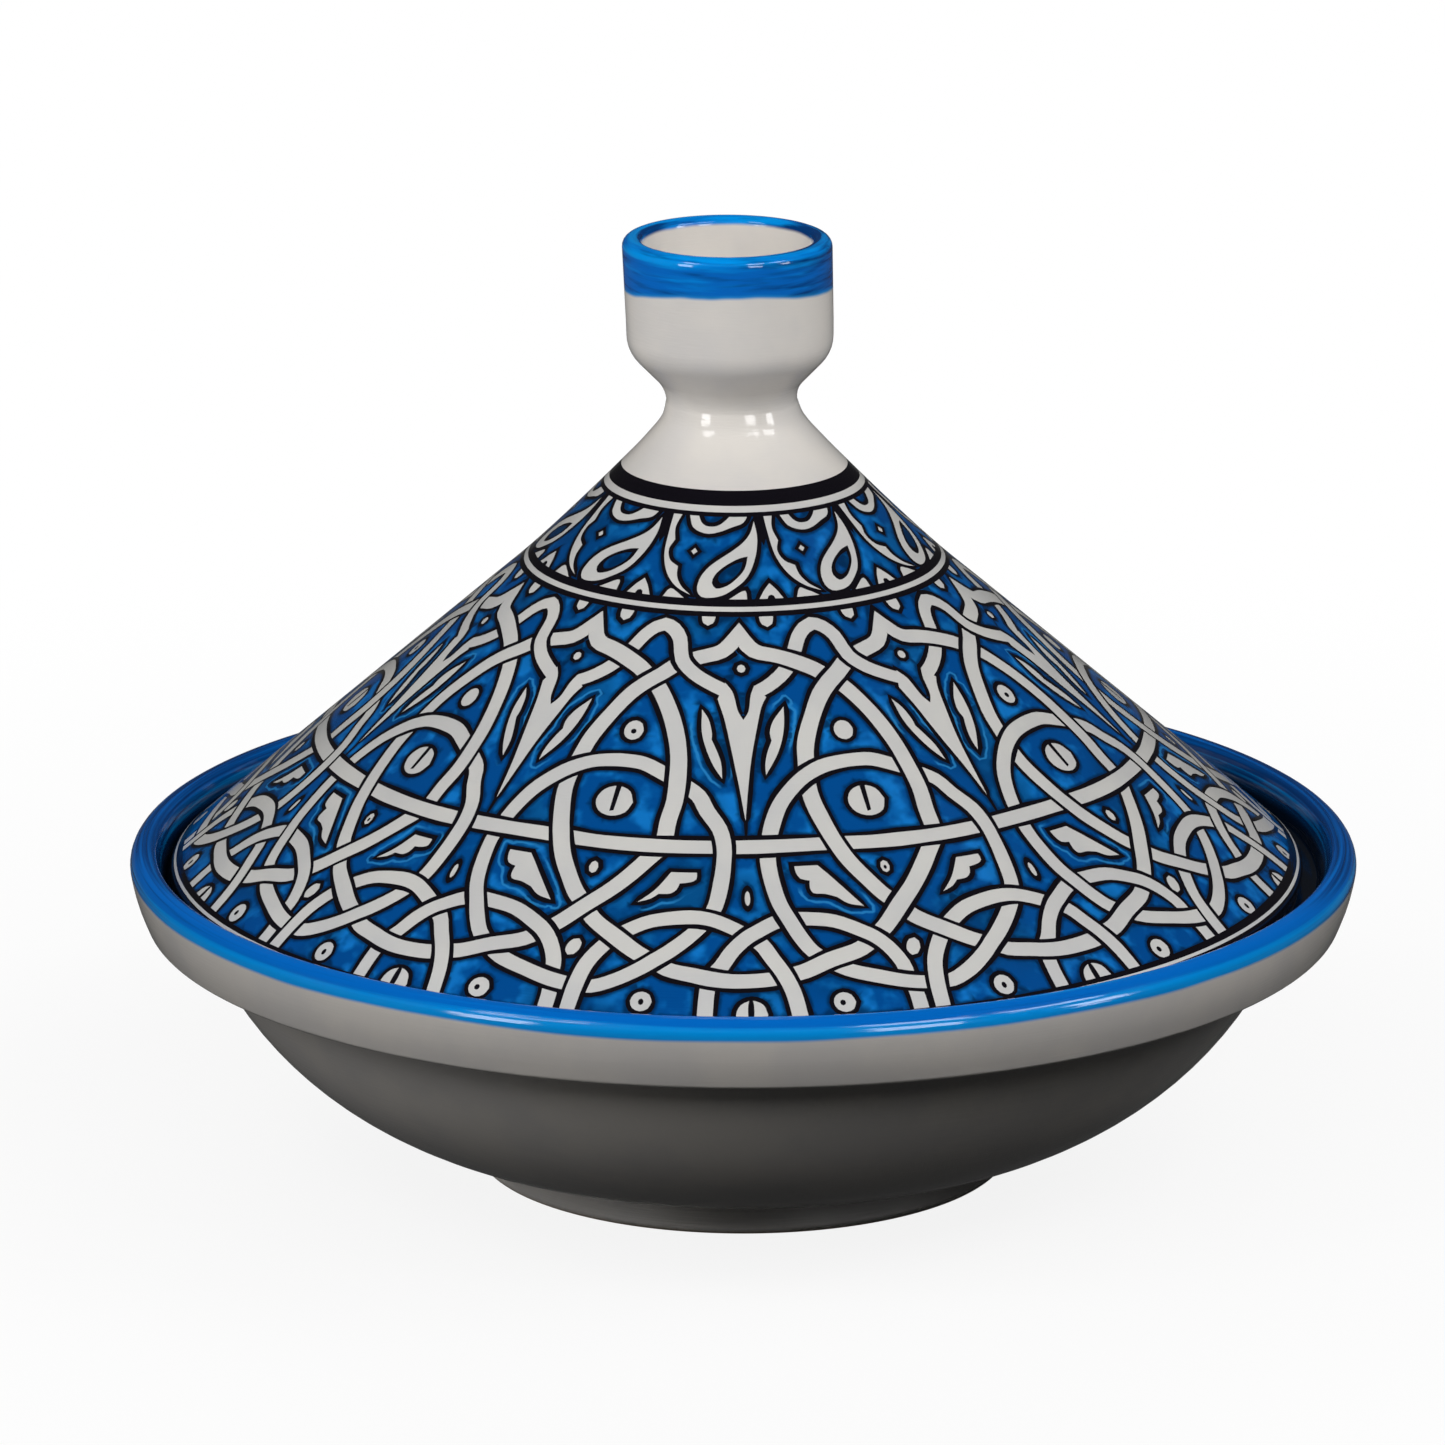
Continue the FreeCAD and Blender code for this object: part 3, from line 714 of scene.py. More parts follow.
GRID_STEP = 3.6
POOL_OFFSET = 1.3
POOL_STEP = 1.5
MERGE_WITHIN = 2e-5
# How near a point has to be to the ends of the painted ground, in millimetres, to be on them
ON_EDGE = 0.003


class Drawing:
    """The flat drawing, as points, edges that the triangles have to follow, and painted areas."""

    def __init__(self):
        self.points, self.edges, self.areas, self.owners = [], [], [], []

    def place(self, spots):
        start = len(self.points)
        self.points += [Vector(spot) for spot in spots]
        return list(range(start, len(self.points)))

    def line(self, spots, closed=False):
        numbers = self.place(spots)
        self.edges += list(zip(numbers, numbers[1:] + (numbers[:1] if closed else [])))

    def area(self, line, mark, white):
        self.areas.append(self.place(to_flat(line[:, 0], line[:, 1])))
        self.owners.append((mark, white))

    def mark(self, mark):
        turned = anticlockwise(mark.border)
        self.area(turned, mark, False)
        if mark.white is not None:
            self.area(anticlockwise(mark.white), mark, True)
        # A looser line outside the border, so that the blue can be shaded towards it
        if mark.level < RING_LEVEL:
            pool = sides_of(turned, -np.full(len(turned), POOL_OFFSET), closed=True)
            sparse = max(1, round(POOL_STEP / SHAPE_STEP if mark.line is None else POOL_STEP / STRAND_STEP))
            self.place(to_flat(pool[::sparse, 0], pool[::sparse, 1]))

    def triangles(self):
        spots, _, faces, _, _, areas = geometry.delaunay_2d_cdt(
            self.points, self.edges, self.areas, 0, MERGE_WITHIN, True)
        return np.array(spots), faces, areas


def paint_of(found, spot):
    """White, black or blue at a spot, from the painted areas that cover it."""
    marks = {}
    for mark, white in found:
        marks[mark] = marks.get(mark, False) or white
    if not marks:
        return "blue"
    top = max(marks, key=lambda mark: mark.height_near(spot))
    kin = [mark for mark in marks if mark is top or (top.group == "hook" and mark.group == "hook")]
    if any(marks[mark] for mark in kin):
        return "blue" if top.group == "blue" else "white"
    return "black"


def ground_places(angles, slants):
    """Points on the outside of the lid, at angles in radians."""
    radius = radius_at(slants)
    return np.column_stack([radius * np.sin(angles), -radius * np.cos(angles), height_at(slants)])


def distances_to(targets, places):
    """The distance from each place to the nearest target."""
    tree = kdtree.KDTree(len(targets))
    for number, target in enumerate(targets):
        tree.insert(Vector(target), number)
    tree.balance()
    return [tree.find(Vector(place))[2] for place in places]


def lid_marks():
    """Every mark of the lid's pattern."""
    marks = wheel_marks()
    for copy in range(FIELD.count):
        marks += field_marks(copy)
    for copy in range(FRIEZE.count):
        marks += frieze_marks(copy)
    return marks


def lid_drawing(marks):
    """The flat drawing: both ends of the painted ground, a seam at the back, a loose grid and the marks."""
    drawing = Drawing()
    wheel = np.linspace(-180.0, 180.0, COLUMNS + 1)[:-1]
    for slant in (PAINT_LOW, PAINT_HIGH):
        drawing.line(to_flat(wheel, np.full(COLUMNS, slant)), closed=True)
    seam = np.linspace(PAINT_LOW, PAINT_HIGH, round((PAINT_HIGH - PAINT_LOW) / GRID_STEP))
    drawing.line(to_flat(np.full(len(seam), 180.0), seam))
    for row, slant in enumerate(seam[1:-1]):
        count = round(2 * math.pi * float(radius_at(slant)) / GRID_STEP)
        angles = (np.arange(count) + 0.5 * (row % 2)) * 360.0 / count
        drawing.place(to_flat(angles, np.full(count, slant)))
    for mark in marks:
        drawing.mark(mark)
    return drawing


def painted_faces(drawing, spots, faces, areas):
    """The triangles of the painted ground, and the paint of each."""
    top_reach = np.exp(-np.interp(PAINT_HIGH, ground_slant, ground_rise)) * math.cos(math.pi / COLUMNS)
    kept, paints = [], []
    for face, found in zip(faces, areas):
        middle = spots[face].mean(axis=0)
        if np.hypot(*middle) < top_reach:
            continue
        _, slant = from_flat(middle[None])
        kept.append(face)
        if slant[0] > WHEEL_BANDS[0][1]:
            paints.append("white")
        elif slant[0] < WHEEL_BANDS[-2][0]:
            paints.append("black")
        else:
            paints.append(paint_of([drawing.owners[number] for number in found], middle))
    return kept, paints


def paint_lid(skin, start):
    """The painted outside of the lid, from the edge up to the plain neck."""
    marks = lid_marks()
    drawing = lid_drawing(marks)
    spots, faces, areas = drawing.triangles()
    kept, paints = painted_faces(drawing, spots, faces, areas)
    angles, slants = from_flat(spots)

    # Distance from every corner of the blue to the nearest black line and to the nearest leaf
    places = ground_places(angles, slants)
    inked = sorted({number for face, paint in zip(kept, paints) if paint == "black" for number in face})
    gaps = distances_to(places[inked], places)
    leaf_edges = np.vstack([mark.border for mark in marks if mark.group == "leaf"])
    leaf_gaps = distances_to(ground_places(np.radians(leaf_edges[:, 0]), leaf_edges[:, 1]), places)

    step = 2 * math.pi / COLUMNS
    normals = np.array(outward(ground)).T
    numbers = []
    for number in range(len(spots)):
        angle, slant = angles[number], slants[number]
        if min(abs(slant - PAINT_LOW), abs(slant - PAINT_HIGH)) < ON_EDGE:
            slant = PAINT_LOW if slant < PAINT_HIGH / 2 else PAINT_HIGH
            angle = -math.pi + step * (round((angle + math.pi) / step) % COLUMNS)
        normal = [np.interp(slant, ground_slant, part) for part in normals]
        numbers.append(skin.vertex(angle, float(radius_at(slant)), float(height_at(slant)), normal))
        angles[number], slants[number] = angle, slant
    for face, paint in zip(kept, paints):
        middle = spots[face].mean(axis=0)
        middle_angle = math.atan2(middle[0], -middle[1])
        flat, corner_paints = [], []
        for number in face:
            across = (angles[number] + math.pi) / (2 * math.pi)
            if abs(angles[number] - middle_angle) > math.pi:
                across += 1.0 if middle_angle > 0 else -1.0
            flat.append((across, start + slants[number] - PAINT_LOW))
            washed = (1.0, 0.0, gaps[number], leaf_gaps[number])
            corner_paints.append({"white": WHITE, "black": BLACK, "blue": washed}[paint])
        corners = [numbers[number] for number in face]
        if len(set(corners)) == 3:
            skin.face(corners, flat, corner_paints)


# Materials

def node(tree, kind, inputs=None, **settings):
    """A new node; an input given as a value or a socket of other nodes is linked, and any other is set."""
    made = tree.nodes.new("ShaderNode" + kind)
    for name, value in settings.items():
        setattr(made, name, value)
    for name, value in (inputs or {}).items():
        socket = made.inputs[name]
        given = value.socket if isinstance(value, Value) else value
        if isinstance(given, bpy.types.NodeSocket):
            tree.links.new(given, socket)
        else:
            socket.default_value = given
    return made


class Value:
    """A number that nodes work out; its sums, differences and products are made by more nodes."""

    def __init__(self, socket):
        self.socket, self.tree = socket, socket.id_data

    def calc(self, operation, other=0.0):
        return Value(node(self.tree, "Math", {0: self, 1: other}, operation=operation).outputs[0])

    def __add__(self, other):
        return self.calc("ADD", other)

    def __sub__(self, other):
        return self.calc("SUBTRACT", other)

    def __mul__(self, other):
        return self.calc("MULTIPLY", other)

    def ramp(self, low, high, to_low=0.0, to_high=1.0):
        """The number eased from one range into another."""
        inputs = {"Value": self, "From Min": low, "From Max": high, "To Min": to_low, "To Max": to_high}
        return Value(node(self.tree, "MapRange", inputs, interpolation_type="SMOOTHSTEP").outputs[0])

    def mixed(self, first, second):
        """A blend of two colours, with the number as the share of the second."""
        return node(self.tree, "Mix", {0: self, 6: first, 7: second}, data_type="RGBA").outputs[2]


def parts(vector):
    """The three numbers of a vector."""
    return [Value(part) for part in node(vector.id_data, "SeparateXYZ", {0: vector}).outputs]


def cloud(vector, scale, detail=2.0):
    """Soft noise between 0 and 1."""
    inputs = {"Vector": vector, "Scale": scale, "Detail": detail}
    return Value(node(vector.id_data, "TexNoise", inputs).outputs[0])


def sway(vector, scale, strength, detail=2.0):
    """Soft noise about 0."""
    return (cloud(vector, scale, detail) - 0.5) * strength


CREAM = (0.80, 0.76, 0.71, 1.0)
CREAM_COOL = (0.74, 0.71, 0.68, 1.0)
PATTERN_WHITE = (0.69, 0.68, 0.65, 1.0)
PATTERN_GREY = (0.63, 0.625, 0.615, 1.0)
# The blue washed between the painted lines
WASH = (0.0, 0.077, 0.31, 1.0)
WASH_DEEP = (0.0, 0.045, 0.155, 1.0)
WASH_THIN = (0.006, 0.2, 0.62, 1.0)
WASH_PALE = (0.025, 0.26, 0.62, 1.0)
WASH_POOLED = (0.0, 0.02, 0.07, 1.0)
# The blue brushed round the knob and the rim on the wheel; its thin and deep tones also serve as painted
# light and painted shade
BRUSHED = (0.0, 0.15, 0.6, 1.0)
BRUSHED_THIN = (0.0, 0.31, 0.85, 1.0)
BRUSHED_DEEP = (0.0, 0.045, 0.2, 1.0)
BRUSHED_PALE = (0.03, 0.36, 0.74, 1.0)
# Painted shade, down in the gallery between the rim and the lid's edge
GALLERY_SHADE = (0.0015, 0.006, 0.016, 1.0)
INK = (0.006, 0.005, 0.008, 1.0)
BUFF = (0.55, 0.42, 0.3, 1.0)

# Scales of the noise in the wash: its patches, mottle and deep places, the tremble of its edges, and the
# places that it missed
WASH_PATCHES, WASH_MOTTLE, WASH_DEEPS, WASH_TREMBLE, WASH_MISSED = 75.0, 210.0, 38.0, 330.0, 55.0
# Where that noise thins, deepens and misses the wash, and how much of the deeper and paler blue shows
WASH_THINS, WASH_DEEPENS, WASH_MISSES = (0.46, 0.66), (0.48, 0.7, 0.0, 0.75), (0.44, 0.52, 0.0, 0.75)
MOTTLE_STRENGTH, TREMBLE_REACH = 0.45, 0.8
# Pooling of the wash by millimetres from a line, and the strip beside a leaf that it can miss
POOLED = (0.4, 1.5, 0.85, 0.0)
MISSED_FROM, MISSED_TO = (1.2, 1.5), (2.15, 1.8)
# Scales of the noise of the brush: its streaks and loads of paint, and the waver of its edges
STREAKS, LOADS, KNOB_WAVER, RIM_WAVER = 1.2, 1.9, 1.3, 2.4
STREAKS_ALONG = 190.0
STREAK_STRENGTH, LOAD_STRENGTH = 2.8, 2.4
# Scales of the noise in the glaze: its tint, the ripple of the wheel, its peel and its polish
TINT, RIPPLE, PEEL, POLISH = 45.0, 5.0, 260.0, 70.0
TINT_SPAN, POLISH_SPAN = (0.35, 0.65), (0.3, 0.7)
RIPPLE_SHARE, PEEL_SHARE = 0.6, 0.25
BUMP_STRENGTH, BUMP_HEIGHT = 0.12, 0.0006
GLOSSIEST, DULLEST, ROUGH_CLAY = 0.06, 0.11, 0.85
# Softness of a brushed edge and how far it wavers, in metres
BRUSH_EDGE, BRUSH_WAVER = 0.0005, 0.0022


class Glaze:
    """The nodes of a glazed clay, with the places and streaks that its paint is drawn from."""

    def __init__(self, name, axis=0.0):
        self.material = bpy.data.materials.new(name)
        self.material.use_nodes = True
        self.tree = self.material.node_tree
        self.tree.nodes.clear()
        self.place = node(self.tree, "TexCoord").outputs["Object"]
        across, self.y, self.z = parts(self.place)
        self.x = across - axis
        self.radius = (self.x * self.x + self.y * self.y).calc("SQRT")
        # Round the axis for the brush: the direction from the axis, and the distance along the outline
        along = parts(node(self.tree, "UVMap", uv_map="OFBake").outputs[0])[1]
        level = node(self.tree, "CombineXYZ", {0: self.x, 1: self.y}).outputs[0]
        self.facing = node(self.tree, "VectorMath", {0: level}, operation="NORMALIZE").outputs[0]
        lift = node(self.tree, "CombineXYZ", {2: along * STREAKS_ALONG}).outputs[0]
        self.brush = node(self.tree, "VectorMath", {0: self.facing, 1: lift}, operation="ADD").outputs[0]

    def above(self, height):
        """1 above a height in metres, given or worked out by nodes, and 0 below, with a brushed edge."""
        return (self.z - height).ramp(-BRUSH_EDGE, BRUSH_EDGE)

    def cream(self, warm=CREAM, cool=CREAM_COOL):
        """The off-white glaze, faintly uneven."""
        return cloud(self.place, TINT, 3.0).ramp(*TINT_SPAN).mixed(warm, cool)

    def brushed_blue(self, thinner, deeper):
        """Blue laid on with a loaded brush on the wheel: streaks, thinned and deepened by the shares, which
        also carry painted light and shade.
        """
        thin = sway(self.brush, STREAKS, STREAK_STRENGTH, 3.0) + thinner
        deep = sway(self.brush, LOADS, LOAD_STRENGTH) + deeper
        return deep.ramp(0.0, 1.0).mixed(thin.ramp(0.0, 1.0).mixed(BRUSHED, BRUSHED_THIN), BRUSHED_DEEP)

    def finish(self, colour, bare, dry=0.0):
        """The glossy coat over a colour, with the ripple of the wheel; bare and dry clay are rough."""
        height = cloud(self.brush, RIPPLE, 1.0) * RIPPLE_SHARE + cloud(self.place, PEEL) * PEEL_SHARE
        bump = {"Height": height, "Strength": BUMP_STRENGTH, "Distance": BUMP_HEIGHT}
        polish = cloud(self.place, POLISH).ramp(*POLISH_SPAN, GLOSSIEST, DULLEST)
        shader = node(self.tree, "BsdfPrincipled", {
            "Base Color": bare.mixed(colour, BUFF),
            "Roughness": polish.calc("MAXIMUM", bare.calc("MAXIMUM", dry) * ROUGH_CLAY),
            "Normal": node(self.tree, "Bump", bump).outputs[0],
        })
        node(self.tree, "OutputMaterial", {"Surface": shader.outputs[0]})
        return self.material


# Places on the lid, in metres: the knob's own axis, the heights where the white turns warmer, the edges of
# the knob's blue outside and in the cup, its pale fringe, the height of its lip, the radii of the cup's
# wall and of the inside of the lip, how far out its sides and its right begin, and the bare seat
KNOB_AXIS = -0.0036
PATTERN_TOP = (0.171, 0.1735)
KNOB_BLUE_EDGE, CUP_BLUE_EDGE, KNOB_FRINGE = 0.2202, 0.2294, 0.0012
KNOB_LIP = (0.2270, 0.2300)
CUP_WALL = (0.0215, 0.0225)
LIP_INSIDE = (0.0226, 0.0217)
KNOB_SIDES, KNOB_RIGHT = (0.010, 0.019), (0.004, 0.02)
SEAT_BARE = (0.0722, 0.0714)
# How strongly the edge of the knob's blue drops from the front to the sides, and the share of the brush's
# waver that its edge in the cup has
KNOB_EDGE_BEND, CUP_WAVER = 2.5, 0.4
# Shares of paler blue in the fringe, and on the lip as thin paint and a painted highlight; and shares of
# darker blue that paint shade at the left, the right and inside the lip
FRINGE_PALE, LIP_THIN_AND_LIT = 0.75, 0.7
LEFT_SHADE, RIGHT_SHADE, INSIDE_SHADE = 0.05, 0.4, 0.75


def washed_blue(glaze, gap, leaf_gap):
    """Blue washed into each space: uneven, pooled dark along lines, and missed here and there by leaves."""
    uneven = cloud(glaze.place, WASH_PATCHES, 3.0) + sway(glaze.place, WASH_MOTTLE, MOTTLE_STRENGTH)
    blue = uneven.ramp(*WASH_THINS).mixed(WASH, WASH_THIN)
    blue = cloud(glaze.place, WASH_DEEPS).ramp(*WASH_DEEPENS).mixed(blue, WASH_DEEP)
    tremble = cloud(glaze.place, WASH_TREMBLE) * TREMBLE_REACH
    blue = (gap + tremble).ramp(*POOLED).mixed(blue, WASH_POOLED)
    leaf_edge = leaf_gap + tremble
    beside = leaf_edge.ramp(*MISSED_FROM) * leaf_edge.ramp(*MISSED_TO)
    missed = beside * cloud(glaze.place, WASH_MISSED, 1.0).ramp(*WASH_MISSES)
    return missed.mixed(blue, WASH_PALE)


def lid_material():
    glaze = Glaze("lid_glaze", KNOB_AXIS)
    paint = node(glaze.tree, "Attribute", attribute_name="paint").outputs
    blue_share, ink_share, gap = parts(paint["Vector"])
    blue = washed_blue(glaze, gap, Value(paint["Alpha"]))
    # The neck and knob are a warmer white than the pattern
    white = glaze.z.ramp(*PATTERN_TOP).mixed(glaze.cream(PATTERN_WHITE, PATTERN_GREY), glaze.cream())
    colour = ink_share.mixed(blue_share.mixed(white, blue), INK)
    # The knob's blue band, lower at the sides than at the front, and round the lip into the cup
    waver = sway(glaze.facing, KNOB_WAVER, BRUSH_WAVER)
    knob_edge = (glaze.y * glaze.y - glaze.x * glaze.x) * KNOB_EDGE_BEND + waver + KNOB_BLUE_EDGE
    fringe = (glaze.z - knob_edge).ramp(0.0, KNOB_FRINGE, FRINGE_PALE, 0.0)
    outside = glaze.above(knob_edge) * glaze.radius.ramp(*CUP_WALL)
    inside = glaze.above(waver * CUP_WAVER + CUP_BLUE_EDGE)
    # Its blue is paler on the lip, as thin paint and a painted highlight, and darker at the right and
    # inside the lip at both sides, as painted shade
    lip = glaze.z.ramp(*KNOB_LIP, 0.0, LIP_THIN_AND_LIT)
    lip_inside_shade = glaze.x.calc("ABSOLUTE").ramp(*KNOB_SIDES) * glaze.radius.ramp(*LIP_INSIDE, 0.0, INSIDE_SHADE)
    deeper = glaze.x.ramp(*KNOB_RIGHT, LEFT_SHADE, RIGHT_SHADE) + lip_inside_shade
    band = fringe.mixed(glaze.brushed_blue(lip, deeper), BRUSHED_PALE)
    colour = outside.calc("MAXIMUM", inside).mixed(colour, band)
    # The seat that stands on the gallery is wiped bare
    return glaze.finish(colour, glaze.z.ramp(*SEAT_BARE))


# Places on the dish, in metres: the lower edges of the blue on the rim and in the gallery, where the rim's
# outside and the gallery begin and end, the rim's outer and inner slopes, the heights over which painted
# shade darkens the gallery, and the foot
RIM_BLUE_EDGE, GALLERY_LOW = 0.0757, 0.0695
RIM_OUTSIDE = (0.1425, 0.143)
GALLERY_INNER, GALLERY_OUTER = (0.1305, 0.1315), (0.146, 0.1455)
RIM_DOWN, RIM_INWARD = (0.0795, 0.0772), (0.1495, 0.1445)
GALLERY_DEPTH = (0.0785, 0.0735)
FOOT_BARE, FOOT_RECESS, FOOT_DRY = (0.0011, 0.0003), (0.054, 0.055), (0.011, 0.008)
# Shares of paler blue at the top of the rim's outside and low on it; of darker blue as painted light and
# shade, less at the front and more at the sides and back, and as painted shade on the inner slope; the
# forward facings of front and sides; how dry the foot is
TOP_THIN, LOW_THIN = -0.05, 0.95
FRONT_LIGHT, SIDE_SHADE, SLOPE_SHADE = -0.3, 0.4, 0.35
FRONT_TO_SIDE = (0.65, 0.0)
FOOT_DRYNESS = 0.6


def dish_material():
    glaze = Glaze("dish_glaze")
    outside = glaze.above(sway(glaze.facing, RIM_WAVER, BRUSH_WAVER) + RIM_BLUE_EDGE)
    outside = outside * glaze.radius.ramp(*RIM_OUTSIDE)
    gallery = glaze.above(GALLERY_LOW) * glaze.radius.ramp(*GALLERY_INNER)
    gallery = gallery * glaze.radius.ramp(*GALLERY_OUTER)
    # The rim's blue grows paler down its outside and is a little darker on its top; it is lighter at the
    # front and darker at its sides and back, and darker down the inner slope, which is painted light and
    # shade
    front = parts(glaze.facing)[1] * -1.0
    thinner = glaze.z.ramp(*RIM_DOWN, TOP_THIN, LOW_THIN)
    deeper = front.ramp(*FRONT_TO_SIDE, FRONT_LIGHT, SIDE_SHADE)
    deeper = deeper + glaze.radius.ramp(*RIM_INWARD, 0.0, SLOPE_SHADE)
    blue = glaze.brushed_blue(thinner, deeper)
    # Low in the gallery the blue darkens to painted shade
    blue = (gallery * glaze.z.ramp(*GALLERY_DEPTH)).mixed(blue, GALLERY_SHADE)
    colour = outside.calc("MAXIMUM", gallery).mixed(glaze.cream(), blue)
    # The foot ring's underside is wiped bare, and the glaze is dry round its side
    bare = glaze.z.ramp(*FOOT_BARE) * glaze.radius.ramp(*FOOT_RECESS)
    return glaze.finish(colour, bare, glaze.z.ramp(*FOOT_DRY, 0.0, FOOT_DRYNESS))


# Pieces

def make_dish():
    outline = stepped(DISH_OUTLINE, LONGEST_STEP)
    skin = Skin(lengths(outline)[-1])
    skin.turn(outline, outward(outline), 0.0, WHITE)
    dish = skin.build("dish_glazed", dish_material())
    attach(dish, "dish")
    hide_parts("base_dish")


# Where the loose lid has come to rest, and how its knob leans: height, and distance to the right
SETTLED = [
    (71.0, -1.6), (150.0, -2.1), (180.0, -2.2), (186.0, -2.4), (194.0, -3.1), (210.0, -3.3),
    (231.0, -4.0),
]
# The lid's edge side below this height is painted blue, a painted reflection of the dish's blue rim
EDGE_BLUE_TOP = 73.6
# The first point of the neck stands this far above the paint, and points this near the seat are on it
NECK_GAP, SEAT_GAP = 0.1, 0.01


def settled(height):
    return float(np.interp(height, *zip(*SETTLED)))


def make_lid():
    paint_top = np.array((float(radius_at(PAINT_HIGH)), float(height_at(PAINT_HIGH))))
    neck_low = PAINT_HIGH + NECK_GAP
    neck = [paint_top] + [spot for spot, slant in zip(ground, ground_slant) if slant > neck_low]
    hollow = stepped(HOLLOW_OUTLINE, LONGEST_STEP)
    knob = stepped(neck + KNOB_OUTLINE, LONGEST_STEP / 2)
    hollow_length = lengths(hollow)[-1]
    painted_length = PAINT_HIGH - PAINT_LOW
    skin = Skin(hollow_length + painted_length + lengths(knob)[-1])
    whole = hollow + ground[1:]
    hollow_normals = outward(whole)[:len(hollow)]
    edge = max(number for number, spot in enumerate(hollow) if spot[1] < SEAT_HEIGHT + SEAT_GAP)
    skin.turn(hollow[:edge + 1], hollow_normals[:edge + 1], 0.0, WHITE)
    line = max(number for number, spot in enumerate(hollow) if spot[1] < EDGE_BLUE_TOP)
    # The edge side, painted blue as a painted reflection of the rim
    skin.turn(hollow[edge:line + 1], hollow_normals[edge:line + 1], lengths(hollow)[edge], BLUE)
    skin.turn(hollow[line:], hollow_normals[line:], lengths(hollow)[line], BLACK)
    paint_lid(skin, hollow_length)
    knob_normals = outward([ground[-len(neck) - 1]] + knob)[1:]
    skin.turn(knob, knob_normals, hollow_length + painted_length, WHITE)
    skin.points = [(across + settled(height), deep, height) for across, deep, height in skin.points]
    lid = skin.build("lid_painted", lid_material())
    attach(lid, "lid")
    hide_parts("lid")


# Studio: a pale floor, soft lamps and the camera of the photograph

FLOOR_HALF = 12.0
PURE_WHITE = (1.0, 1.0, 1.0, 1.0)
PAPER = (0.95, 0.95, 0.95, 1.0)
PAPER_DIM = (0.015, 0.015, 0.015, 1.0)
# Distances from the middle over which the shadow fades out, and how white the floor is at the first
SHADOW_REACH = (0.15, 0.6)
SHADOW_WHITE = 0.88
# How much of the white floor shows in the glaze
FLOOR_MIRRORED = 0.05
WORLD_LIGHT = 0.025
CAMERA_DISTANCE = 2.4
CAMERA_ELEVATION = 15.83
CAMERA_TARGET = Vector((-0.00507, 0.0, 0.1096))
IMAGE_WIDTH = 1445
FOCAL_PIXELS = 9840
SENSOR = 36.0


def make_floor():
    half = FLOOR_HALF
    mesh = bpy.data.meshes.new("floor")
    corners = [(-half, -half, 0), (half, -half, 0), (half, half, 0), (-half, half, 0)]
    mesh.from_pydata(corners, [], [(0, 1, 2, 3)])
    material = bpy.data.materials.new("floor_paper")
    material.use_nodes = True
    tree = material.node_tree
    tree.nodes.clear()
    rays = node(tree, "LightPath").outputs
    mirrored = Value(rays["Is Glossy Ray"]) * FLOOR_MIRRORED
    seen = Value(rays["Is Camera Ray"]).calc("MAXIMUM", rays["Is Transmission Ray"])
    seen = seen.calc("MAXIMUM", mirrored)
    paper = node(tree, "BsdfDiffuse", {"Color": PAPER}).outputs[0]
    white = node(tree, "Emission", {"Color": PURE_WHITE, "Strength": 1.0}).outputs[0]
    place = node(tree, "TexCoord").outputs["Object"]
    spread = Value(node(tree, "VectorMath", {0: place}, operation="LENGTH").outputs["Value"])
    pale = node(tree, "MixShader", {0: spread.ramp(*SHADOW_REACH, SHADOW_WHITE, 1.0), 1: paper, 2: white})
    dim = node(tree, "BsdfDiffuse", {"Color": PAPER_DIM}).outputs[0]
    above = node(tree, "MixShader", {0: seen, 1: dim, 2: pale.outputs[0]}).outputs[0]
    # From below the floor is clear, so that the underside of the foot can be looked at
    clear = node(tree, "BsdfTransparent").outputs[0]
    below = node(tree, "NewGeometry").outputs["Backfacing"]
    surface = node(tree, "MixShader", {0: below, 1: above, 2: clear})
    node(tree, "OutputMaterial", {"Surface": surface.outputs[0]})
    mesh.materials.append(material)
    floor = bpy.data.objects.new("floor", mesh)
    bpy.context.scene.collection.objects.link(floor)


def make_world():
    world = bpy.data.worlds.new("studio")
    world.use_nodes = True
    tree = world.node_tree
    background = tree.nodes["Background"]
    background.inputs["Color"].default_value = PURE_WHITE
    # Dim to the glaze, and white to the camera
    strength = Value(node(tree, "LightPath").outputs["Is Camera Ray"]).ramp(0.0, 1.0, WORLD_LIGHT, 1.0)
    tree.links.new(strength.socket, background.inputs["Strength"])
    bpy.context.scene.world = world


# Lamps: name, azimuth and elevation in degrees from the front, distance, width and height, watts
LAMPS = [
    ("window_left", -46.0, 44.0, 1.8, 0.55, 0.3, 3.6),
    ("window_middle", 36.0, 44.0, 1.8, 0.55, 0.3, 3.6),
    ("window_right", 66.0, 40.0, 1.8, 0.55, 0.3, 3.6),
    ("fill_front", -8.0, 42.0, 2.4, 2.6, 1.6, 28.0),
    ("fill_left", -80.0, 18.0, 2.4, 1.6, 1.6, 14.5),
    ("fill_right", 78.0, 44.0, 2.4, 1.6, 1.6, 12.0),
    ("fill_back", 178.0, 26.0, 2.4, 2.2, 1.6, 22.0),
    ("glint_left", -46.0, 16.0, 1.8, 0.5, 0.45, 6.2),
    ("glint_middle", 31.0, 16.0, 1.8, 0.5, 0.45, 5.6),
    ("glint_right", 67.0, 16.0, 1.8, 0.36, 0.45, 4.6),
]
LAMP_TARGET = Vector((0.0, 0.0, 0.12))
# Narrow lamps that light only the knob and the neck: name, azimuth and elevation, and watts
KNOB_LAMPS = [("knob_left", -62.0, -6.0, 27.0), ("knob_right", 58.0, -6.0, 20.5)]
KNOB_TARGET = Vector((-0.0035, 0.0, 0.216))
KNOB_LAMP_DISTANCE = 1.8
KNOB_LAMP_SIZE = 0.01
KNOB_LAMP_BEAM = 2.6
KNOB_LAMP_BLEND = 0.5


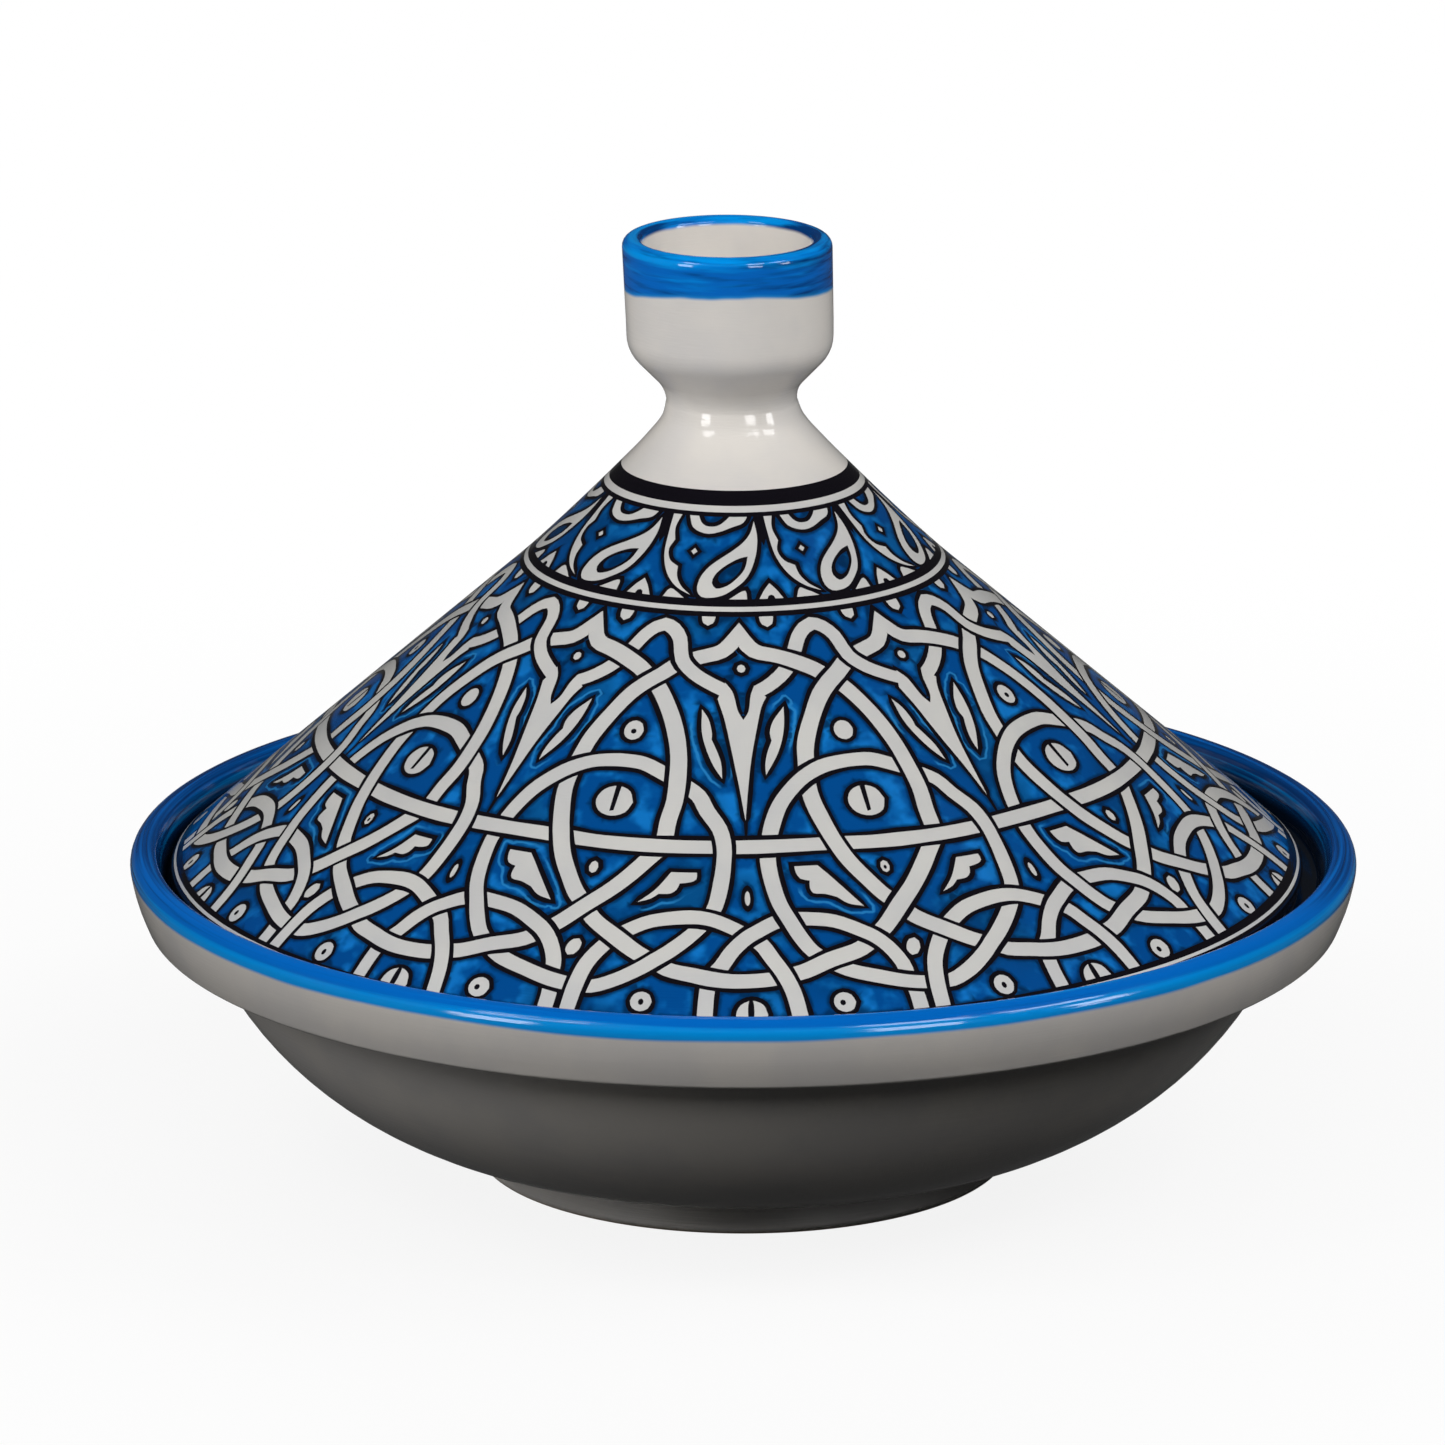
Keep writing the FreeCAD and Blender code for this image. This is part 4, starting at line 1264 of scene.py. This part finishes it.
def direction(azimuth, elevation):
    """Unit vector from the middle of the object; azimuth 0 is the front, -Y, and 90 is +X."""
    turn, lift = math.radians(azimuth), math.radians(elevation)
    return Vector((math.sin(turn) * math.cos(lift), -math.cos(turn) * math.cos(lift), math.sin(lift)))


def aim(item, target):
    item.rotation_mode = "QUATERNION"
    item.rotation_quaternion = (target - item.location).to_track_quat("-Z", "Y")


def place_lamp(name, lamp, target, azimuth, elevation, distance):
    item = bpy.data.objects.new(name, lamp)
    item.location = target + direction(azimuth, elevation) * distance
    aim(item, target)
    bpy.context.scene.collection.objects.link(item)
    return item


def make_lamps():
    for name, azimuth, elevation, distance, width, height, watts in LAMPS:
        lamp = bpy.data.lights.new(name, "AREA")
        lamp.shape = "RECTANGLE"
        lamp.size, lamp.size_y = width, height
        lamp.energy = watts
        item = place_lamp(name, lamp, LAMP_TARGET, azimuth, elevation, distance)
        # The wide fills light the glaze without showing in it, and the glints only show in it
        item.visible_glossy = not name.startswith("fill")
        item.visible_diffuse = not name.startswith("glint")
    for name, azimuth, elevation, watts in KNOB_LAMPS:
        lamp = bpy.data.lights.new(name, "SPOT")
        lamp.spot_size = math.radians(KNOB_LAMP_BEAM)
        lamp.spot_blend = KNOB_LAMP_BLEND
        lamp.shadow_soft_size = KNOB_LAMP_SIZE
        lamp.energy = watts
        item = place_lamp(name, lamp, KNOB_TARGET, azimuth, elevation, KNOB_LAMP_DISTANCE)
        item.visible_glossy = False


def make_camera():
    lens = bpy.data.cameras.new("camera")
    lens.sensor_width = SENSOR
    lens.lens = FOCAL_PIXELS / IMAGE_WIDTH * SENSOR
    camera = bpy.data.objects.new("camera", lens)
    camera.location = CAMERA_TARGET + direction(0.0, CAMERA_ELEVATION) * CAMERA_DISTANCE
    aim(camera, CAMERA_TARGET)
    bpy.context.scene.collection.objects.link(camera)
    bpy.context.scene.camera = camera


make_camera()
make_dish()
make_lid()
make_floor()
make_world()
make_lamps()
bpy.context.scene.view_settings.view_transform = "Standard"
